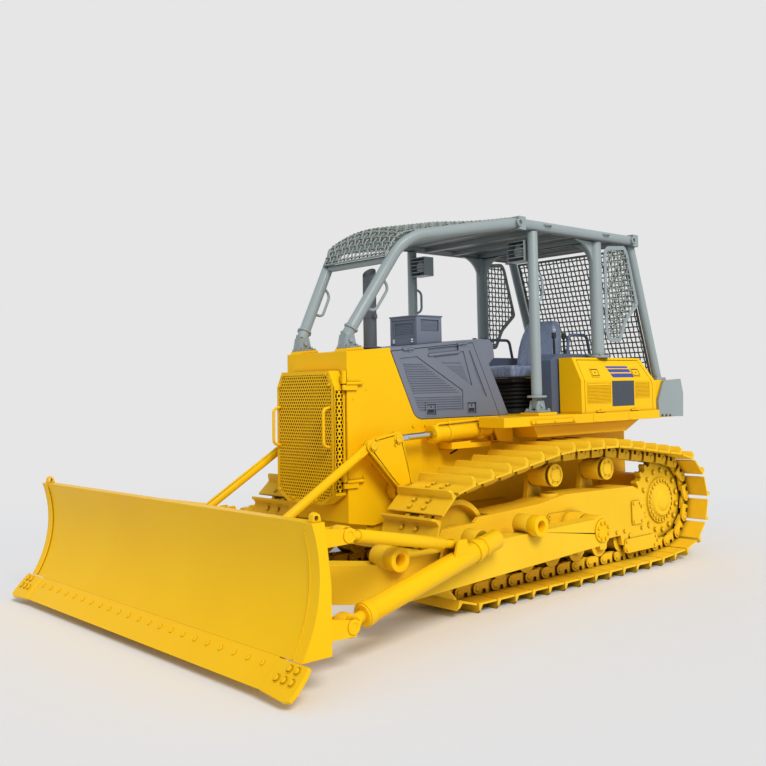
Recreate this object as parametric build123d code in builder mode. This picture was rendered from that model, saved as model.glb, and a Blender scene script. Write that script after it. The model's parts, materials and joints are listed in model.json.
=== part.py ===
"""A track-laying dozer with an angling blade on a C-frame, a bell-crank lift and an open, screened canopy.

Millimetres. +X points forward, +Y to the machine's left and +Z up, with the ground at z = 0.
"""

from build123d import *
import os
from math import acos, atan2, cos, hypot, pi, sin

os.makedirs("parts", exist_ok=True)

# Running clearances
PIVOT_CLEARANCE = 0.3
PANEL_GAP = 6
SEAT_GAP = 0.3

# Track chain
TRACK_Y = 895
SHOE_WIDTH = 610
SHOE_COUNT = 40
SHOE_GAP = 4
PLATE_UNDER = 40
PLATE_STEP = 46
PLATE_TOP = 62
GROUSER_TIP = 125
GROUSER_ROOT = 34
GROUSER_EDGE = 18
RAIL_DEPTH = 48
RAIL_WIDTH = 40
RAIL_OFFSET = 75

# Wheels that carry the chain
SPROCKET_X, SPROCKET_Z = -2250, 555
SPROCKET_PITCH_R = 398
SPROCKET_TIP_R = 418
SPROCKET_WIDTH = 70
SPROCKET_TEETH = 25
TOOTH_DEPTH = 44
HUB_R = 215
IDLER_X = 620
IDLER_PITCH_R = 385
IDLER_TREAD_R = 321
IDLER_HALF = 97
CARRIER_X = (-540, -1280)
CARRIER_Z = 930
CARRIER_R = 100
ROLLER_COUNT = 7
ROLLER_FRONT_X, ROLLER_REAR_X = 150, -1825
ROLLER_R = 94
ROLLER_FLANGE = 16
SHAFT_R = 36
IDLER_Z = GROUSER_TIP + IDLER_PITCH_R
ROLLER_Z = GROUSER_TIP + RAIL_DEPTH + ROLLER_R + 3

# Track frame
FRAME_HALF = 150
FRAME_WALL = 45
FRAME_IN_Y = TRACK_Y - FRAME_HALF
FRAME_OUT_Y = TRACK_Y + FRAME_HALF
CHANNEL_TOP_Z = ROLLER_Z + ROLLER_R + ROLLER_FLANGE + 12
SPROCKET_ROOM = 18

# Hull and hood
HULL_HALF = 370
HULL_TOP_Z = 900
SHEET = 30
HOOD_HALF = HULL_HALF + SHEET
HOOD_SHEET = 25
GUARD_FRONT_X = 1213
GUARD_FRONT_Z = 1996
HOOD_FRONT_X, HOOD_FRONT_Z = 755, 2029
HOOD_REAR_X, HOOD_REAR_Z = -283, 2121
DOOR_FOOT_Z = 1432
DOOR_FOOT_FRONT_X, DOOR_FOOT_REAR_X = 487, -615
DOOR_CORNER_R = 130
COWL_FRAME = 64
DOOR_MARGIN, DOOR_FIELD_DEPTH = 68, 8
DOOR_RIB, DOOR_RIB_SETBACK = 88, 226
DOOR_BAR, DOOR_BAR_TOP, DOOR_BAR_LEAN = 66, 114, 155
DOOR_FIELD_REAR_X = -82
GRIP_X, GRIP_DROP, GRIP_DEPTH = (-40, 330), (38, 96), 16
LATCH_X, LATCH_SIZE, LATCH_DEPTH = (305, -190), (110, 96), 14
PANEL_SEAM_X = 415
PANEL_FOOT_Z = 700
ENGINE_TOP_Z = 1880
DOOR_HINGE_X, DOOR_HINGE_GAP = (560, -80), 1.5
DOOR_HINGE_R, DOOR_HINGE_PIN_R, DOOR_HINGE_LENGTH, DOOR_LEAF = 8, 4, 60, (4, 24)
STACK_X, STACK_R, STACK_TOP_Z = 632, 57.5, 2756
STACK_WALL = 6
LID_OVERHANG, LID_SHEET, INTAKE_RECESS = 8, 12, 14
INTAKE_FRONT_X, INTAKE_REAR_X, INTAKE_HALF, INTAKE_TOP_Z = 248, -57, 176, 2335

# Grille door
GRILLE_X = GUARD_FRONT_X + PANEL_GAP
GRILLE_DEPTH = 114
GRILLE_HALF = 380
GRILLE_FOOT_Z, GRILLE_TOP_Z = 800, 1845
GRILLE_SHEET = 10
GRILLE_HOLE = 46
GRILLE_COLUMNS, GRILLE_ROWS = 8, 11
HINGE_X, HINGE_Y = 1245, HOOD_HALF + 2
HINGE_R, HINGE_PIN_R, HINGE_HEIGHT = 16, 8, 40
HINGE_Z = (930, 1690)
SWEEP_PAD, SWEEP_PAD_HALF, SWEEP_PAD_LENGTH = 24, 76, 110
SWEEP_PIN_R, SWEEP_CHEEK, SWEEP_LUG_HALF = 20, 22, 26

# Deck, fender boxes and tank
DECK_FOOT_Z, DECK_Z = 1350, 1432
DECK_HALF = 920
DECK_FRONT_X, DECK_REAR_X = -30, -2339
DECK_NOTCH_X = -540
BOX_OUT_Y, BOX_IN_Y, BOX_TOP_Y = 890, 640, 790
BOX_FRONT_X, BOX_REAR_X = -1123, -2325
BOX_BEVEL_X, BOX_BEVEL_Z = -2205, 1690
BOX_FOLD_Z, BOX_TOP_Z = 1735, 1948
BOX_WALL = 25
BOX_FRAME = 50
BOX_SILL = 12
BOX_HINGE_X = (-1400, -1950)
STEP_X, STEP_Z, STEP_WIDTH = (-975, -365), (1368, 1398), 24
TANK_HALF, TANK_REAR_X, TANK_TOP_Z = 820, -2860, 1730

# Canopy
POST_Y = 795
FRONT_POST_X, FRONT_POST_R = -607, 47
REAR_POST_X, REAR_POST_R = -1590, 61
RAIL_Y, RAIL_Z, RAIL_R = 800, 3120, 50
RAIL_FRONT_X, RAIL_REAR_X = -370, -2090
ROOF_SHEET = 12
SWEEP_R, SWEEP_BEND = 48, 420
SWEEP_FOOT = (1135, 302, 2120)
SWEEP_KNEE_Z = RAIL_Z - 170
SWEEP_KNEE_X = 641
SWEEP_TAIL_X = -480
CROSS_TUBE_Z = RAIL_Z - 361
REAR_SWEEP_R = 45
REAR_SWEEP_FOOT = (-2553, 770)
LAMP_SIZE = (130, 200, 190)
LAMP_WALL, LAMP_SLATS, LAMP_R = 8, 5, 58
POST_PAD, POST_CLEVIS, POST_COLLAR, POST_PAD_HALF = 28, 130, 18, 105
CLEVIS_CHEEK, CLEVIS_GAP_HALF, CLEVIS_PIN_R = 22, 26, 20
GUSSET_DROP, GUSSET_REACH, GUSSET_SHEET = 280, 250, 30
HANDLE_R, HANDLE_BEND, HANDLE_OUT = 12, 60, 120
POST_HANDLE_Z = (2430, 2710)
CONSOLE_LOOP = 190
LAMP_FOOT_Z = RAIL_Z - 313

# Operator station
SEAT_X = (-1500, -900)
SEAT_HALF = 260
SEAT_FOOT_Z, SEAT_TOP_Z, SEAT_BACK_Z = 1770, 1900, 2357
CONSOLE_X = (-1900, -1030)
CONSOLE_Y = (420, 620)
CONSOLE_TOP_Z = 1990

# Blade and C-frame
COVER_X, COVER_SHIFT, COVER_TOP_Z, COVER_R = -560, 40, 772, 78
TRUNNION_X, TRUNNION_Z, TRUNNION_R = -690, 480, 70
ARM_IN_Y, ARM_OUT_Y = 1225, 1385
ARM_BEND_X = 1600
NOSE_X = 2360
NOSE_R = 85
CFRAME_FOOT_Z, CFRAME_TOP_Z = 264, 525
BLADE_HALF = 1904
BLADE_TOP_X, BLADE_TOP_Z = 2671, 958
BLADE_MID_X, BLADE_MID_Z = 2617, 650
BLADE_FOOT_X, BLADE_FOOT_Z = 2745, 214
BLADE_SHEET = 28
BLADE_BACK_X = 2545
RIB_COUNT = 9
EDGE_HALF = 1986
EDGE_TIP_X, EDGE_TIP_Z = 2901, 44
STRUT_SHARE = 0.4143
STRUT_Y = ARM_OUT_Y + STRUT_SHARE * (BLADE_HALF - ARM_OUT_Y)
STRUT_FRONT_X, STRUT_FRONT_Z, STRUT_R = 2205, 274, 72
STRUT_REAR_X, STRUT_REAR_Z, STRUT_REAR_Y = 760, 574, 1466
BRACE_FRONT_X, BRACE_FRONT_Z, BRACE_R = 2230, 818, 41
BRACE_REAR_X, BRACE_REAR_Z, BRACE_REAR_Y = 1138, 608, 1485
EYE_HALF = 52
SOCKETS = ((189, 623), (1639, 568))
SOCKET_R, SOCKET_BORE_R, SOCKET_DEPTH, SOCKET_FLOOR = 80, 43, 90, 10
STRUT_NECK, STRUT_NECK_R = 140, 36
LUG_SHEET = 24
WEAR_STRIP, WEAR_SHEET = 90, 8
EDGE_LIP, EDGE_HEAD = 40, 60
END_BIT, END_BIT_DROP, END_BIT_BACK, END_BIT_CORNER = 300, 26, 20, 60
LIFT_EYE_R = 14

# Lift linkage, one on each side of the hood
LINK_Y = 540
LINK_GAP_HALF = 22
CRANK_SHEET = 18
CRANK_X, CRANK_Z, CRANK_SHAFT_R = 740, 880, 45
CRANK_RIM = 55
LINK_TOP_X, LINK_TOP_Z = 1106, 1256
LINK_FOOT_X, LINK_FOOT_Z = 2163, 620
LINK_R, LINK_EYE_R, LINK_PIN_R = 35, 58, 28
ROD_EYE_X, ROD_EYE_Z, ROD_EYE_R = 847, 1299, 48
BARREL_EYE_X, BARREL_EYE_Z, BARREL_EYE_R, BARREL_PIN_R = -336, 1342, 55, 26
BARREL_START, BARREL_END, BARREL_R = 103, 788, 68
ROD_START, ROD_R, ROD_BORE_CLEARANCE = 457, 27, 1


def side_plane(y):
    """Sketch plane seen from the machine's left: x forward, z up."""
    return Plane(origin=(0, y, 0), x_dir=(1, 0, 0), z_dir=(0, -1, 0))


def side_plate(points, y_low, y_high, mode=Mode.ADD):
    """Plate with an outline in x and z."""
    with BuildSketch(side_plane(y_high)) as outline:
        with BuildLine():
            Polyline(*points, close=True)
        make_face()
    extrude(outline.sketch, amount=y_high - y_low, mode=mode)


def floor_plate(points, z_low, z_high, mode=Mode.ADD):
    """Plate with an outline in x and y."""
    with BuildSketch(Plane.XY.offset(z_low)) as outline:
        with BuildLine():
            Polyline(*points, close=True)
        make_face()
    extrude(outline.sketch, amount=z_high - z_low, mode=mode)


def block(x, y, z, mode=Mode.ADD):
    """Box between two corners, given as ranges."""
    with Locations(((x[0] + x[1]) / 2, (y[0] + y[1]) / 2, (z[0] + z[1]) / 2)):
        Box(x[1] - x[0], y[1] - y[0], z[1] - z[0], mode=mode)


def disc_y(x, z, y_low, y_high, radius, mode=Mode.ADD):
    """Cylinder along y."""
    with BuildSketch(side_plane(y_high)) as outline:
        with Locations((x, z)):
            Circle(radius)
    extrude(outline.sketch, amount=y_high - y_low, mode=mode)


def rod(start, end, radius, mode=Mode.ADD):
    """Cylinder from one point to another."""
    run = Vector(*end) - Vector(*start)
    with BuildSketch(Plane(origin=start, z_dir=run)) as outline:
        Circle(radius)
    extrude(outline.sketch, amount=run.length, mode=mode)


def bent_tube(points, bend, radius):
    """Round tube along straight runs with equal bends."""
    with BuildLine() as path:
        FilletPolyline(*points, radius=bend)
    with BuildSketch(Plane(origin=path.line @ 0, z_dir=path.line % 0)) as outline:
        Circle(radius)
    sweep(outline.sketch, path=path.line)


def turned(points, y_center, x, z):
    """Solid turned about a y axis from (distance along the axis, radius) points."""
    plane = Plane(origin=(x, y_center, z), x_dir=(0, 1, 0), z_dir=(1, 0, 0))
    with BuildSketch(plane) as outline:
        with BuildLine():
            Polyline(*points, close=True)
        make_face()
    revolve(outline.sketch, axis=Axis((x, y_center, z), (0, 1, 0)))


def band(start, end, width):
    """Corners of a straight strip of this width about a line."""
    run = hypot(end[0] - start[0], end[1] - start[1])
    shift_u, shift_v = (start[1] - end[1]) / run * width / 2, (end[0] - start[0]) / run * width / 2
    corners = [(start[0] + shift_u, start[1] + shift_v), (end[0] + shift_u, end[1] + shift_v)]
    corners += [(end[0] - shift_u, end[1] - shift_v), (start[0] - shift_u, start[1] - shift_v)]
    return corners


def hood_z(x, below=0):
    """Height of the hood's sloping top, or of a line below it."""
    slope = (HOOD_REAR_Z - HOOD_FRONT_Z) / (HOOD_FRONT_X - HOOD_REAR_X)
    return HOOD_FRONT_Z + slope * (HOOD_FRONT_X - x) - below


def chain_pins():
    """Pin centres, evenly spaced round the wheels, from the idler over the top to the rear."""
    lift = RAIL_DEPTH + 8
    wheels = [(IDLER_X, IDLER_Z, IDLER_PITCH_R)]
    wheels += [(x, CARRIER_Z, CARRIER_R + lift) for x in CARRIER_X]
    wheels += [(SPROCKET_X, SPROCKET_Z, SPROCKET_PITCH_R)]
    wheels += [(ROLLER_REAR_X, ROLLER_Z, ROLLER_Z - GROUSER_TIP)]
    count = len(wheels)
    normals = []
    for index, (x, z, r) in enumerate(wheels):
        next_x, next_z, next_r = wheels[(index + 1) % count]
        run = hypot(next_x - x, next_z - z)
        normals.append(atan2(next_z - z, next_x - x) - acos((r - next_r) / run))
    pieces = []
    for index, (x, z, r) in enumerate(wheels):
        turn = (normals[index] - normals[index - 1]) % (2 * pi)
        pieces.append(("arc", r * turn, x, z, r, normals[index - 1]))
        next_x, next_z, next_r = wheels[(index + 1) % count]
        angle = normals[index]
        start = (x + r * cos(angle), z + r * sin(angle))
        end = (next_x + next_r * cos(angle), next_z + next_r * sin(angle))
        pieces.append(("line", hypot(end[0] - start[0], end[1] - start[1]), *start, *end))
    total = sum(piece[1] for piece in pieces)
    pins = []
    for index in range(SHOE_COUNT):
        left = total * index / SHOE_COUNT
        for kind, length, *rest in pieces:
            if left <= length:
                break
            left -= length
        if kind == "arc":
            x, z, r, angle = rest
            pins.append((x + r * cos(angle + left / r), z + r * sin(angle + left / r)))
        else:
            x, z, end_x, end_z = rest
            share = left / length
            pins.append((x + share * (end_x - x), z + share * (end_z - z)))
    return pins


PINS = chain_pins()


def link_frame(index):
    """Start pin, direction, outward normal and length of one link."""
    x, z = PINS[index % SHOE_COUNT]
    end_x, end_z = PINS[(index + 1) % SHOE_COUNT]
    length = hypot(end_x - x, end_z - z)
    along = ((end_x - x) / length, (end_z - z) / length)
    return (x, z), along, (along[1], -along[0]), length


def ring_points(height):
    """Corners of the closed line that runs beside the links at one height over the pins."""
    points = []
    for index in range(SHOE_COUNT):
        (x, z), _, before, _ = link_frame(index - 1)
        (x, z), _, after, _ = link_frame(index)
        mean = (before[0] + after[0], before[1] + after[1])
        scale = 2 * height / (mean[0] ** 2 + mean[1] ** 2)
        points.append((x + scale * mean[0], z + scale * mean[1]))
    return points


def shoe_points():
    """Outer line of the shoes: a flat plate and one grouser bar for each link."""
    points = []
    for index in range(SHOE_COUNT):
        (x, z), along, out, length = link_frame(index)
        end = length - SHOE_GAP
        steps = [(SHOE_GAP, PLATE_STEP), (SHOE_GAP, PLATE_TOP), (end - GROUSER_ROOT, PLATE_TOP)]
        steps += [(end - GROUSER_EDGE, GROUSER_TIP), (end, GROUSER_TIP), (end, PLATE_STEP)]
        for run, height in steps:
            points.append((x + run * along[0] + height * out[0], z + run * along[1] + height * out[1]))
    return points


# Tracks: each is one closed loop of shoes on two strands of links
with BuildPart() as track_left:
    with BuildSketch(side_plane(TRACK_Y + SHOE_WIDTH / 2)):
        with BuildLine():
            Polyline(*shoe_points(), close=True)
        make_face()
        with BuildLine():
            Polyline(*ring_points(PLATE_UNDER), close=True)
        make_face(mode=Mode.SUBTRACT)
    extrude(amount=SHOE_WIDTH)
    for rail_y in (TRACK_Y - RAIL_OFFSET, TRACK_Y + RAIL_OFFSET):
        with BuildSketch(side_plane(rail_y + RAIL_WIDTH / 2)):
            with BuildLine():
                Polyline(*ring_points((PLATE_UNDER + PLATE_STEP) / 2), close=True)
            make_face()
            with BuildLine():
                Polyline(*ring_points(-RAIL_DEPTH), close=True)
            make_face(mode=Mode.SUBTRACT)
        extrude(amount=RAIL_WIDTH)

with BuildPart() as track_right:
    mirror(track_left.part, about=Plane.XZ)

def tooth_points():
    """Outline of the sprocket: straight flanks between a root and a tip for each tooth."""
    root_r = SPROCKET_TIP_R - TOOTH_DEPTH
    step = 2 * pi / SPROCKET_TEETH
    corners = ((-0.30, root_r), (-0.12, SPROCKET_TIP_R), (0.12, SPROCKET_TIP_R), (0.30, root_r))
    points = []
    for index in range(SPROCKET_TEETH):
        for share, radius in corners:
            angle = (index + share) * step
            points.append((SPROCKET_X + radius * cos(angle), SPROCKET_Z + radius * sin(angle)))
    return points


# Sprockets with their hubs
with BuildPart() as sprockets:
    with BuildSketch(side_plane(TRACK_Y + SPROCKET_WIDTH / 2)):
        with BuildLine():
            Polyline(*tooth_points(), close=True)
        make_face()
    extrude(amount=SPROCKET_WIDTH)
    hub_face = SPROCKET_WIDTH / 2
    hub = [(-hub_face - 25, 0), (-hub_face - 25, HUB_R), (hub_face + 22, HUB_R)]
    hub += [(hub_face + 22, HUB_R * 0.76), (hub_face + 46, HUB_R * 0.66), (hub_face + 46, HUB_R * 0.5)]
    hub += [(hub_face + 64, HUB_R * 0.36), (hub_face + 70, 0)]
    turned(hub, TRACK_Y, SPROCKET_X, SPROCKET_Z)
    mirror(about=Plane.XZ)

# Idlers: spoked rims are closed discs with a deep web
with BuildPart() as idlers:
    idler_profile = [(-FRAME_HALF + FRAME_WALL, 0), (-FRAME_HALF + FRAME_WALL, SHAFT_R + 10)]
    idler_profile += [(-60, SHAFT_R + 10), (-60, 100), (-22, 110), (-22, IDLER_TREAD_R - 50)]
    idler_profile += [(-IDLER_HALF, IDLER_TREAD_R - 40), (-IDLER_HALF, IDLER_TREAD_R)]
    idler_profile += [(-45, IDLER_TREAD_R), (-38, IDLER_TREAD_R + 18), (0, IDLER_TREAD_R + 18), (0, 0)]
    turned(idler_profile, TRACK_Y, IDLER_X, IDLER_Z)
    mirror(about=Plane(origin=(0, TRACK_Y, 0), x_dir=(1, 0, 0), z_dir=(0, 1, 0)))
    mirror(about=Plane.XZ)

# Track rollers below and carrier rollers above, on shafts that end at the track frame's walls
ROLLER_HALF = FRAME_HALF - FRAME_WALL
roller_xs = [
    ROLLER_FRONT_X + (ROLLER_REAR_X - ROLLER_FRONT_X) * step / (ROLLER_COUNT - 1)
    for step in range(ROLLER_COUNT)
]
with BuildPart() as rollers:
    flange_r = ROLLER_R + ROLLER_FLANGE
    rail_out = RAIL_OFFSET + RAIL_WIDTH / 2 + 2
    half = [(rail_out, ROLLER_R), (rail_out, flange_r), (rail_out + 5, flange_r), (rail_out + 5, SHAFT_R)]
    half += [(ROLLER_HALF, SHAFT_R), (ROLLER_HALF, 0)]
    profile = [(-run, radius) for run, radius in reversed(half)] + half
    for roller_x in roller_xs:
        turned(profile, TRACK_Y, roller_x, ROLLER_Z)
    carrier = [(-ROLLER_HALF, 0), (-ROLLER_HALF, SHAFT_R), (-96, SHAFT_R), (-96, CARRIER_R)]
    carrier += [(96, CARRIER_R), (96, CARRIER_R * 0.65), (130, CARRIER_R * 0.6), (130, 0)]
    for carrier_x in CARRIER_X:
        turned(carrier, TRACK_Y, carrier_x, CARRIER_Z)
    mirror(about=Plane.XZ)

# Track frames: a box over the rollers, a fork for the idler, carrier brackets and the trunnion
with BuildPart() as track_frames:
    frame_line = [(480, 400), (480, 640), (430, 680), (-300, 712), (-650, 760), (-1660, 745)]
    frame_line += [(-1790, 680), (-1900, 600), (-1900, 330), (-1100, 310), (300, 320)]
    side_plate(frame_line, FRAME_IN_Y, FRAME_OUT_Y)
    room = (FRAME_IN_Y + FRAME_WALL, FRAME_OUT_Y - FRAME_WALL)
    block((-2000, 500), room, (0, CHANNEL_TOP_Z), mode=Mode.SUBTRACT)
    idler_room = IDLER_X - IDLER_TREAD_R - 40
    block((idler_room, 1000), room, (0, 1000), mode=Mode.SUBTRACT)
    disc_y(SPROCKET_X, SPROCKET_Z, 0, 2000, SPROCKET_TIP_R + SPROCKET_ROOM, mode=Mode.SUBTRACT)
    fork_line = [(470, 410), (470, 640), (840, 630), (880, 560), (800, 440), (700, 400)]
    for wall_y in (FRAME_IN_Y, FRAME_OUT_Y - FRAME_WALL):
        side_plate(fork_line, wall_y, wall_y + FRAME_WALL)
    for roller_x in roller_xs:
        hanger = [(roller_x - 70, 350), (roller_x - 45, ROLLER_Z - 42), (roller_x + 45, ROLLER_Z - 42)]
        hanger += [(roller_x + 70, 350)]
        for wall_y in (FRAME_IN_Y, FRAME_OUT_Y - FRAME_WALL):
            side_plate(hanger, wall_y, wall_y + FRAME_WALL)
    for carrier_x in CARRIER_X:
        bracket_line = [(carrier_x - 110, 700), (carrier_x - 55, CARRIER_Z + 40)]
        bracket_line += [(carrier_x + 55, CARRIER_Z + 40), (carrier_x + 110, 700)]
        side_plate(bracket_line, FRAME_IN_Y, FRAME_IN_Y + FRAME_WALL)
    cover_y = TRACK_Y + COVER_SHIFT
    rod((COVER_X, cover_y, COVER_TOP_Z - 70), (COVER_X, cover_y, COVER_TOP_Z), COVER_R)
    tail_guard = [(-1560, 320), (-1600, 225), (-1960, 205), (-1900, 340)]
    side_plate(tail_guard, FRAME_OUT_Y - FRAME_WALL, FRAME_OUT_Y)
    side_plate(tail_guard, FRAME_IN_Y, FRAME_IN_Y + FRAME_WALL)
    disc_y(TRUNNION_X, TRUNNION_Z, FRAME_OUT_Y, ARM_IN_Y - PANEL_GAP, TRUNNION_R + 60)
    disc_y(TRUNNION_X, TRUNNION_Z, FRAME_OUT_Y, ARM_OUT_Y + 10, TRUNNION_R)
    mirror(about=Plane.XZ)

# Hull: steering case, frame rails, final drives and the cross members that meet the track frames
HULL_REAR_X = -2510
with BuildPart() as main_frame:
    hull_line = [(HULL_REAR_X, 520), (HULL_REAR_X + 110, 430), (900, 430), (1010, 520), (1010, HULL_TOP_Z)]
    hull_line += [(DOOR_FOOT_REAR_X - 10, HULL_TOP_Z), (DOOR_FOOT_REAR_X - 10, DECK_FOOT_Z)]
    hull_line += [(HULL_REAR_X, DECK_FOOT_Z)]
    side_plate(hull_line, -HULL_HALF, HULL_HALF)
    hub_seat = TRACK_Y - SPROCKET_WIDTH / 2 - 25
    disc_y(SPROCKET_X, SPROCKET_Z, -hub_seat, hub_seat, 250)
    disc_y(-1500, 560, -FRAME_IN_Y, FRAME_IN_Y, 95)
    block((60, 240), (-FRAME_IN_Y, FRAME_IN_Y), (470, 640))

with BuildPart() as engine_block:
    block((-370, 760), (-250, 250), (HULL_TOP_Z, ENGINE_TOP_Z))

# Drawbar at the rear, with its pin hole
DRAWBAR_X, DRAWBAR_PIN_R, DRAWBAR_Z = -2700, 26, (540, 600)
with BuildPart() as drawbar:
    tongue = [(HULL_REAR_X, -150), (DRAWBAR_X - 30, -75), (DRAWBAR_X - 75, -40), (DRAWBAR_X - 75, 40)]
    tongue += [(DRAWBAR_X - 30, 75), (HULL_REAR_X, 150)]
    floor_plate(tongue, *DRAWBAR_Z)
    with Locations((DRAWBAR_X, 0, DRAWBAR_Z[1])):
        Hole(DRAWBAR_PIN_R)

# The side opening that an engine door fills, shared by the door and the guard in front of it
door_corners = [
    (HOOD_FRONT_X, HOOD_FRONT_Z - HOOD_SHEET),
    (DOOR_FOOT_FRONT_X, DOOR_FOOT_Z),
    (DOOR_FOOT_REAR_X + COWL_FRAME, DOOR_FOOT_Z),
    (HOOD_REAR_X + COWL_FRAME, hood_z(HOOD_REAR_X + COWL_FRAME, HOOD_SHEET)),
]


def door_face():
    """Face of the door opening, with its large lower front corner, in x and z."""
    with BuildSketch(Plane.XY) as opening:
        with BuildLine():
            Polyline(*door_corners, close=True)
        make_face()
        fillet(opening.vertices().sort_by(Axis.Y)[:2].sort_by(Axis.X)[-1:], DOOR_CORNER_R)
    return opening.sketch


def guard_top_z(x, above=0):
    """Height of the guard's sloping top at x."""
    slope = (HOOD_FRONT_Z - GUARD_FRONT_Z) / (GUARD_FRONT_X - HOOD_FRONT_X)
    return GUARD_FRONT_Z + slope * (GUARD_FRONT_X - x) + above


# Radiator guard: a hollow housing, open behind and below, with the grille opening in front
with BuildPart() as radiator_guard:
    guard_line = [(964, 618), (GUARD_FRONT_X, 660), (GUARD_FRONT_X, GUARD_FRONT_Z)]
    guard_line += [(HOOD_FRONT_X, HOOD_FRONT_Z), (HOOD_FRONT_X, DOOR_FOOT_Z + 400)]
    guard_line += [(PANEL_SEAM_X, DOOR_FOOT_Z + 60), (PANEL_SEAM_X, PANEL_FOOT_Z)]
    side_plate(guard_line, -HOOD_HALF, HOOD_HALF)
    with BuildSketch(side_plane(HOOD_HALF + 10)):
        add(door_face())
    extrude(amount=2 * HOOD_HALF + 20, mode=Mode.SUBTRACT)
    inside = [(0, 0), (GUARD_FRONT_X - SHEET, 0), (GUARD_FRONT_X - SHEET, GUARD_FRONT_Z - SHEET)]
    inside += [(HOOD_FRONT_X, HOOD_FRONT_Z - SHEET), (0, HOOD_FRONT_Z - SHEET)]
    side_plate(inside, -HULL_HALF, HULL_HALF, mode=Mode.SUBTRACT)
    block((GUARD_FRONT_X - 100, 1400), (-310, 310), (850, 1800), mode=Mode.SUBTRACT)
    for hinge_z in HINGE_Z:
        block((1120, HINGE_X), (HOOD_HALF, HINGE_Y + HINGE_R), (hinge_z, hinge_z + HINGE_HEIGHT))
        with Locations((HINGE_X, HINGE_Y, hinge_z)):
            Cylinder(HINGE_R, HINGE_HEIGHT, align=(Align.CENTER, Align.CENTER, Align.MIN))
            Cylinder(HINGE_PIN_R, 2 * HINGE_HEIGHT, align=(Align.CENTER, Align.CENTER, Align.MIN))
    pad_rear_x, pad_front_x = SWEEP_FOOT[0] - SWEEP_PAD_LENGTH, GUARD_FRONT_X - SWEEP_PAD
    pad = [(pad_rear_x - SWEEP_PAD, guard_top_z(pad_rear_x, -SHEET)), (GUARD_FRONT_X, GUARD_FRONT_Z - SHEET)]
    pad += [(x, guard_top_z(x, SWEEP_PAD)) for x in (pad_front_x, pad_rear_x)]
    for side in (-1, 1):
        inner, outer = SWEEP_FOOT[1] - SWEEP_PAD_HALF, SWEEP_FOOT[1] + SWEEP_PAD_HALF
        side_plate(pad, *sorted((side * inner, side * outer)))
        inner, outer = sorted((side * HOOD_HALF, side * (LINK_Y + LINK_GAP_HALF + CRANK_SHEET + 2)))
        disc_y(CRANK_X, CRANK_Z, inner, outer, CRANK_SHAFT_R)
        inner, outer = sorted((side * HOOD_HALF, side * (LINK_Y - LINK_GAP_HALF - CRANK_SHEET - 2)))
        disc_y(CRANK_X, CRANK_Z, inner, outer, CRANK_SHAFT_R + 35)

with BuildPart() as radiator_core:
    block((1040, GUARD_FRONT_X - SHEET), (-HULL_HALF, HULL_HALF), (HULL_TOP_Z, 1900))

# Door hinges: one knuckle on the hood's edge with a pin, one on the door, both outside the sheet
door_axis_y = HOOD_HALF + DOOR_HINGE_R
door_axis_drop = HOOD_SHEET + PANEL_GAP / 2


def door_hinge_point(x):
    """Point on the left door's hinge axis."""
    return (x, door_axis_y, hood_z(x, door_axis_drop))


def door_leaf(x_low, x_high, up):
    """Strap that joins a knuckle to the sheet above or below the axis."""
    line = [(x_low, hood_z(x_low, door_axis_drop)), (x_high, hood_z(x_high, door_axis_drop))]
    line += [(x, z + up * DOOR_LEAF[1]) for x, z in reversed(line)]
    side_plate(line, HOOD_HALF, HOOD_HALF + DOOR_LEAF[0])


with BuildPart() as hood_top:
    top_line = [(HOOD_FRONT_X, hood_z(HOOD_FRONT_X)), (HOOD_REAR_X, hood_z(HOOD_REAR_X))]
    top_line += [(HOOD_REAR_X, hood_z(HOOD_REAR_X, HOOD_SHEET))]
    top_line += [(HOOD_FRONT_X, hood_z(HOOD_FRONT_X, HOOD_SHEET))]
    side_plate(top_line, -HOOD_HALF, HOOD_HALF)
    rod((STACK_X, 0, ENGINE_TOP_Z), (STACK_X, 0, STACK_TOP_Z), STACK_R + PANEL_GAP, mode=Mode.SUBTRACT)
    for hinge_x in DOOR_HINGE_X:
        knuckle_x = hinge_x + DOOR_HINGE_LENGTH
        rod(door_hinge_point(hinge_x), door_hinge_point(knuckle_x), DOOR_HINGE_R)
        pin_x = hinge_x - DOOR_HINGE_LENGTH
        rod(door_hinge_point(pin_x), door_hinge_point(knuckle_x), DOOR_HINGE_PIN_R)
        door_leaf(hinge_x, knuckle_x, 1)
    mirror(about=Plane.XZ)

with BuildPart() as exhaust_stack:
    rod((STACK_X, 0, ENGINE_TOP_Z), (STACK_X, 0, STACK_TOP_Z), STACK_R)
    rod((STACK_X, 0, STACK_TOP_Z - 260), (STACK_X, 0, STACK_TOP_Z + 10), STACK_R - STACK_WALL, Mode.SUBTRACT)
    split(bisect_by=Plane(origin=(STACK_X, 0, STACK_TOP_Z - 60), z_dir=(0.7, 0.3, 1)), keep=Keep.BOTTOM)

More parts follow.
